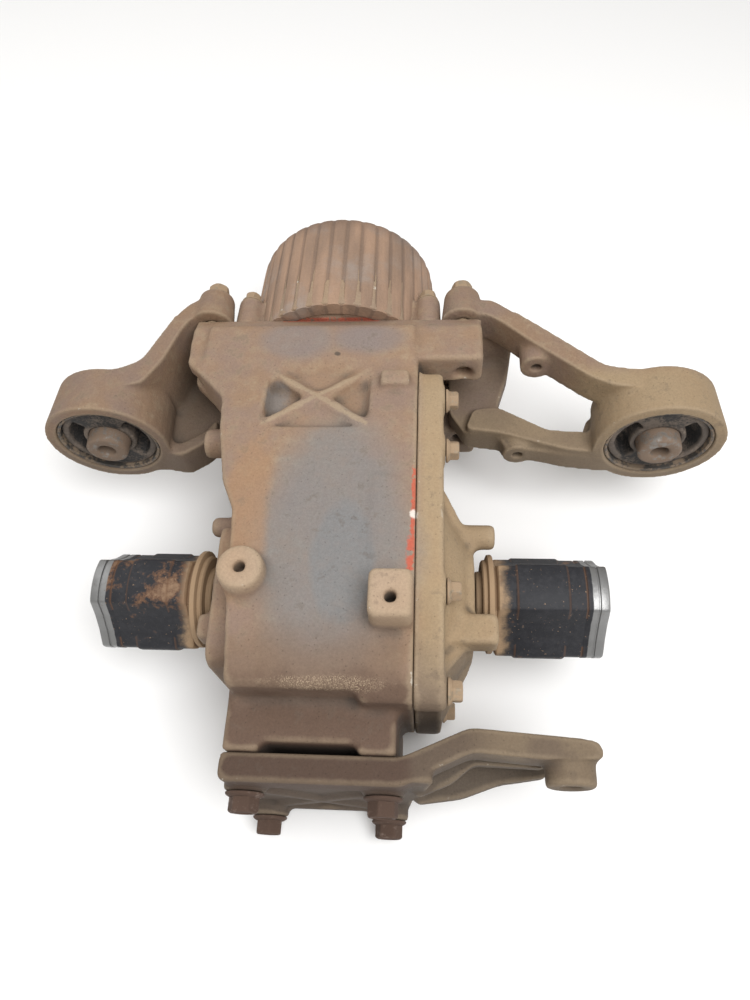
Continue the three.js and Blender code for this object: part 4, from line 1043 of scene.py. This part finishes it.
def build_bolts():
    looks = {
        "tan": worn_steel("bolt_zinc_dusty", (0.25, 0.20, 0.14), (0.29, 0.205, 0.13), 0.8, 0.5, 0.35),
        "brown": worn_steel("bolt_rusty_brown", (0.17, 0.12, 0.095), (0.075, 0.045, 0.032), 0.85, 0.55, 0.35),
    }
    slots = {"tan": "bolt_steel", "brown": "bracket_bolt_steel"}
    turn = FIRST_BOLT_TURN
    for nodes, axis, way, shank_radius, look in BOLT_GROUPS:
        for node in nodes:
            low, high = box_mm(node)
            centre = (low + high) / 2
            across = (high - low)[(axis + 1) % 3] / 1.44
            head = across * 0.55 + 3
            top = high[axis] if way > 0 else low[axis]
            seat = top - way * head
            shank = abs(seat - (low[axis] if way > 0 else high[axis]))
            if "_arm_" in node:
                shank -= ARM_SHANK_CUT
            rows = flange_bolt_rows(across, head, shank_radius, shank, turn)
            rows = [(seat + way * station, radius) for station, radius in rows]
            centre[axis] = 0
            mesh = polar_mesh(node + "_head", axis, centre, rows, sharp=28)
            place(node + "_head", mesh, "housing", looks[look], slots[look], [node])
            turn += BOLT_TURN_STEP


# ---------------- nodes that keep their shape


KEPT_STEELS = [
    # slot, material, base colour, stain, share stained, roughness, metallic
    ("dark_steel", "dark_steel_oily", (0.16, 0.155, 0.15), (0.13, 0.085, 0.055), 0.5, 0.42, 0.8),
    ("bright_steel", "bright_steel_ground", (0.50, 0.50, 0.49), (0.30, 0.27, 0.22), 0.25, 0.28, 0.95),
    ("bolt_steel", "nut_steel", (0.36, 0.29, 0.19), (0.43, 0.285, 0.15), 0.6, 0.45, 0.5),
    ("sleeve_steel", "sleeve_plain", (0.20, 0.18, 0.16), (0.17, 0.12, 0.085), 0.5, 0.5, 0.5),
]


def finish_kept_nodes():
    """Each CAD node that is still shown gets its slot's procedural material."""
    seal = dusty_rubber("seal_rubber")
    looks = {
        "rubber": seal,
        "socket_plastic": moulded_plastic("socket_plastic_black"),
    }
    for slot, *values in KEPT_STEELS:
        looks[slot] = worn_steel(*values)
    for part in frame["record"]["subparts"]:
        piece = frame["nodes"][part["node"]]
        if piece.hide_render:
            continue
        look = looks.get(part["material_slot"], looks["dark_steel"])
        piece.data.materials.clear()
        piece.data.materials.append(look)


# ---------------- stage, light and camera


def plain_material(name, colour):
    material = bpy.data.materials.new(name)
    material.use_nodes = True
    shader = material.node_tree.nodes["Principled BSDF"]
    shader.inputs["Base Color"].default_value = (*colour, 1)
    shader.inputs["Roughness"].default_value = 0.9
    return material


FLOOR_REACH = 6000
FLOOR_BELOW = 0.0005


def add_floor():
    ends = [(-1, -1), (1, -1), (1, 1), (-1, 1)]
    corners = [(x * FLOOR_REACH, y * FLOOR_REACH, 0) for x, y in ends]
    mesh = mesh_from("floor", corners, [(0, 1, 2, 3)])
    floor = add_object("floor", mesh)
    mesh.materials.append(plain_material("pale_floor", (0.86, 0.86, 0.86)))
    floor.location.z = CAD_BOX[0].z - FLOOR_BELOW


def add_area_light(name, place_at, aim, size, power):
    light = bpy.data.lights.new(name, "AREA")
    light.shape = "DISK"
    light.size = size
    light.energy = power
    lamp = add_object(name, light)
    lamp.location = place_at
    lamp.rotation_mode = "QUATERNION"
    lamp.rotation_quaternion = (Vector(aim) - Vector(place_at)).to_track_quat("-Z", "Y")


def add_light():
    world = bpy.data.worlds.new("studio")
    bpy.context.scene.world = world
    world.use_nodes = True
    background = world.node_tree.nodes["Background"]
    background.inputs["Color"].default_value = (1.0, 0.985, 0.96, 1)
    background.inputs["Strength"].default_value = 0.62
    add_area_light("key", (0.40, -0.45, 1.35), (0, 0, 0.1), 0.9, 19)
    add_area_light("fill", (-0.9, 0.6, 1.1), (0, 0, 0.1), 1.4, 6)


CAMERA_ELEVATION = 61.0
CAMERA_YAW = -8.5
CAMERA_ROLL = -7.0
CAMERA_FROM_AXLE = Vector((0.07857, -0.20237, 0.53082))
CAMERA_LENS = 26.64


def add_camera():
    """The photograph's view: from above and a little behind, close to the part."""
    elevation, yaw, roll = (math.radians(a) for a in (CAMERA_ELEVATION, CAMERA_YAW, CAMERA_ROLL))
    level_share = math.cos(elevation)
    ahead = Vector((math.sin(yaw) * level_share, math.cos(yaw) * level_share, -math.sin(elevation)))
    level = Vector((math.cos(yaw), -math.sin(yaw), 0))
    above = level.cross(ahead)
    right = level * math.cos(roll) + above * math.sin(roll)
    up = above * math.cos(roll) - level * math.sin(roll)
    data = bpy.data.cameras.new("camera")
    data.lens = CAMERA_LENS
    data.sensor_width = 36
    data.clip_start = 0.01
    data.clip_end = 50
    camera = add_object("camera", data)
    turn = Matrix((right, up, -ahead)).transposed().to_4x4()
    camera.matrix_world = Matrix.Translation(Vector(AXLE * MM) + CAMERA_FROM_AXLE) @ turn
    bpy.context.scene.camera = camera


def main():
    body_look = build_castings()
    build_coupling(body_look)
    build_joints()
    build_bushes()
    build_bolts()
    finish_kept_nodes()
    add_floor()
    add_light()
    add_camera()
    bpy.context.scene.view_settings.view_transform = "Standard"


main()
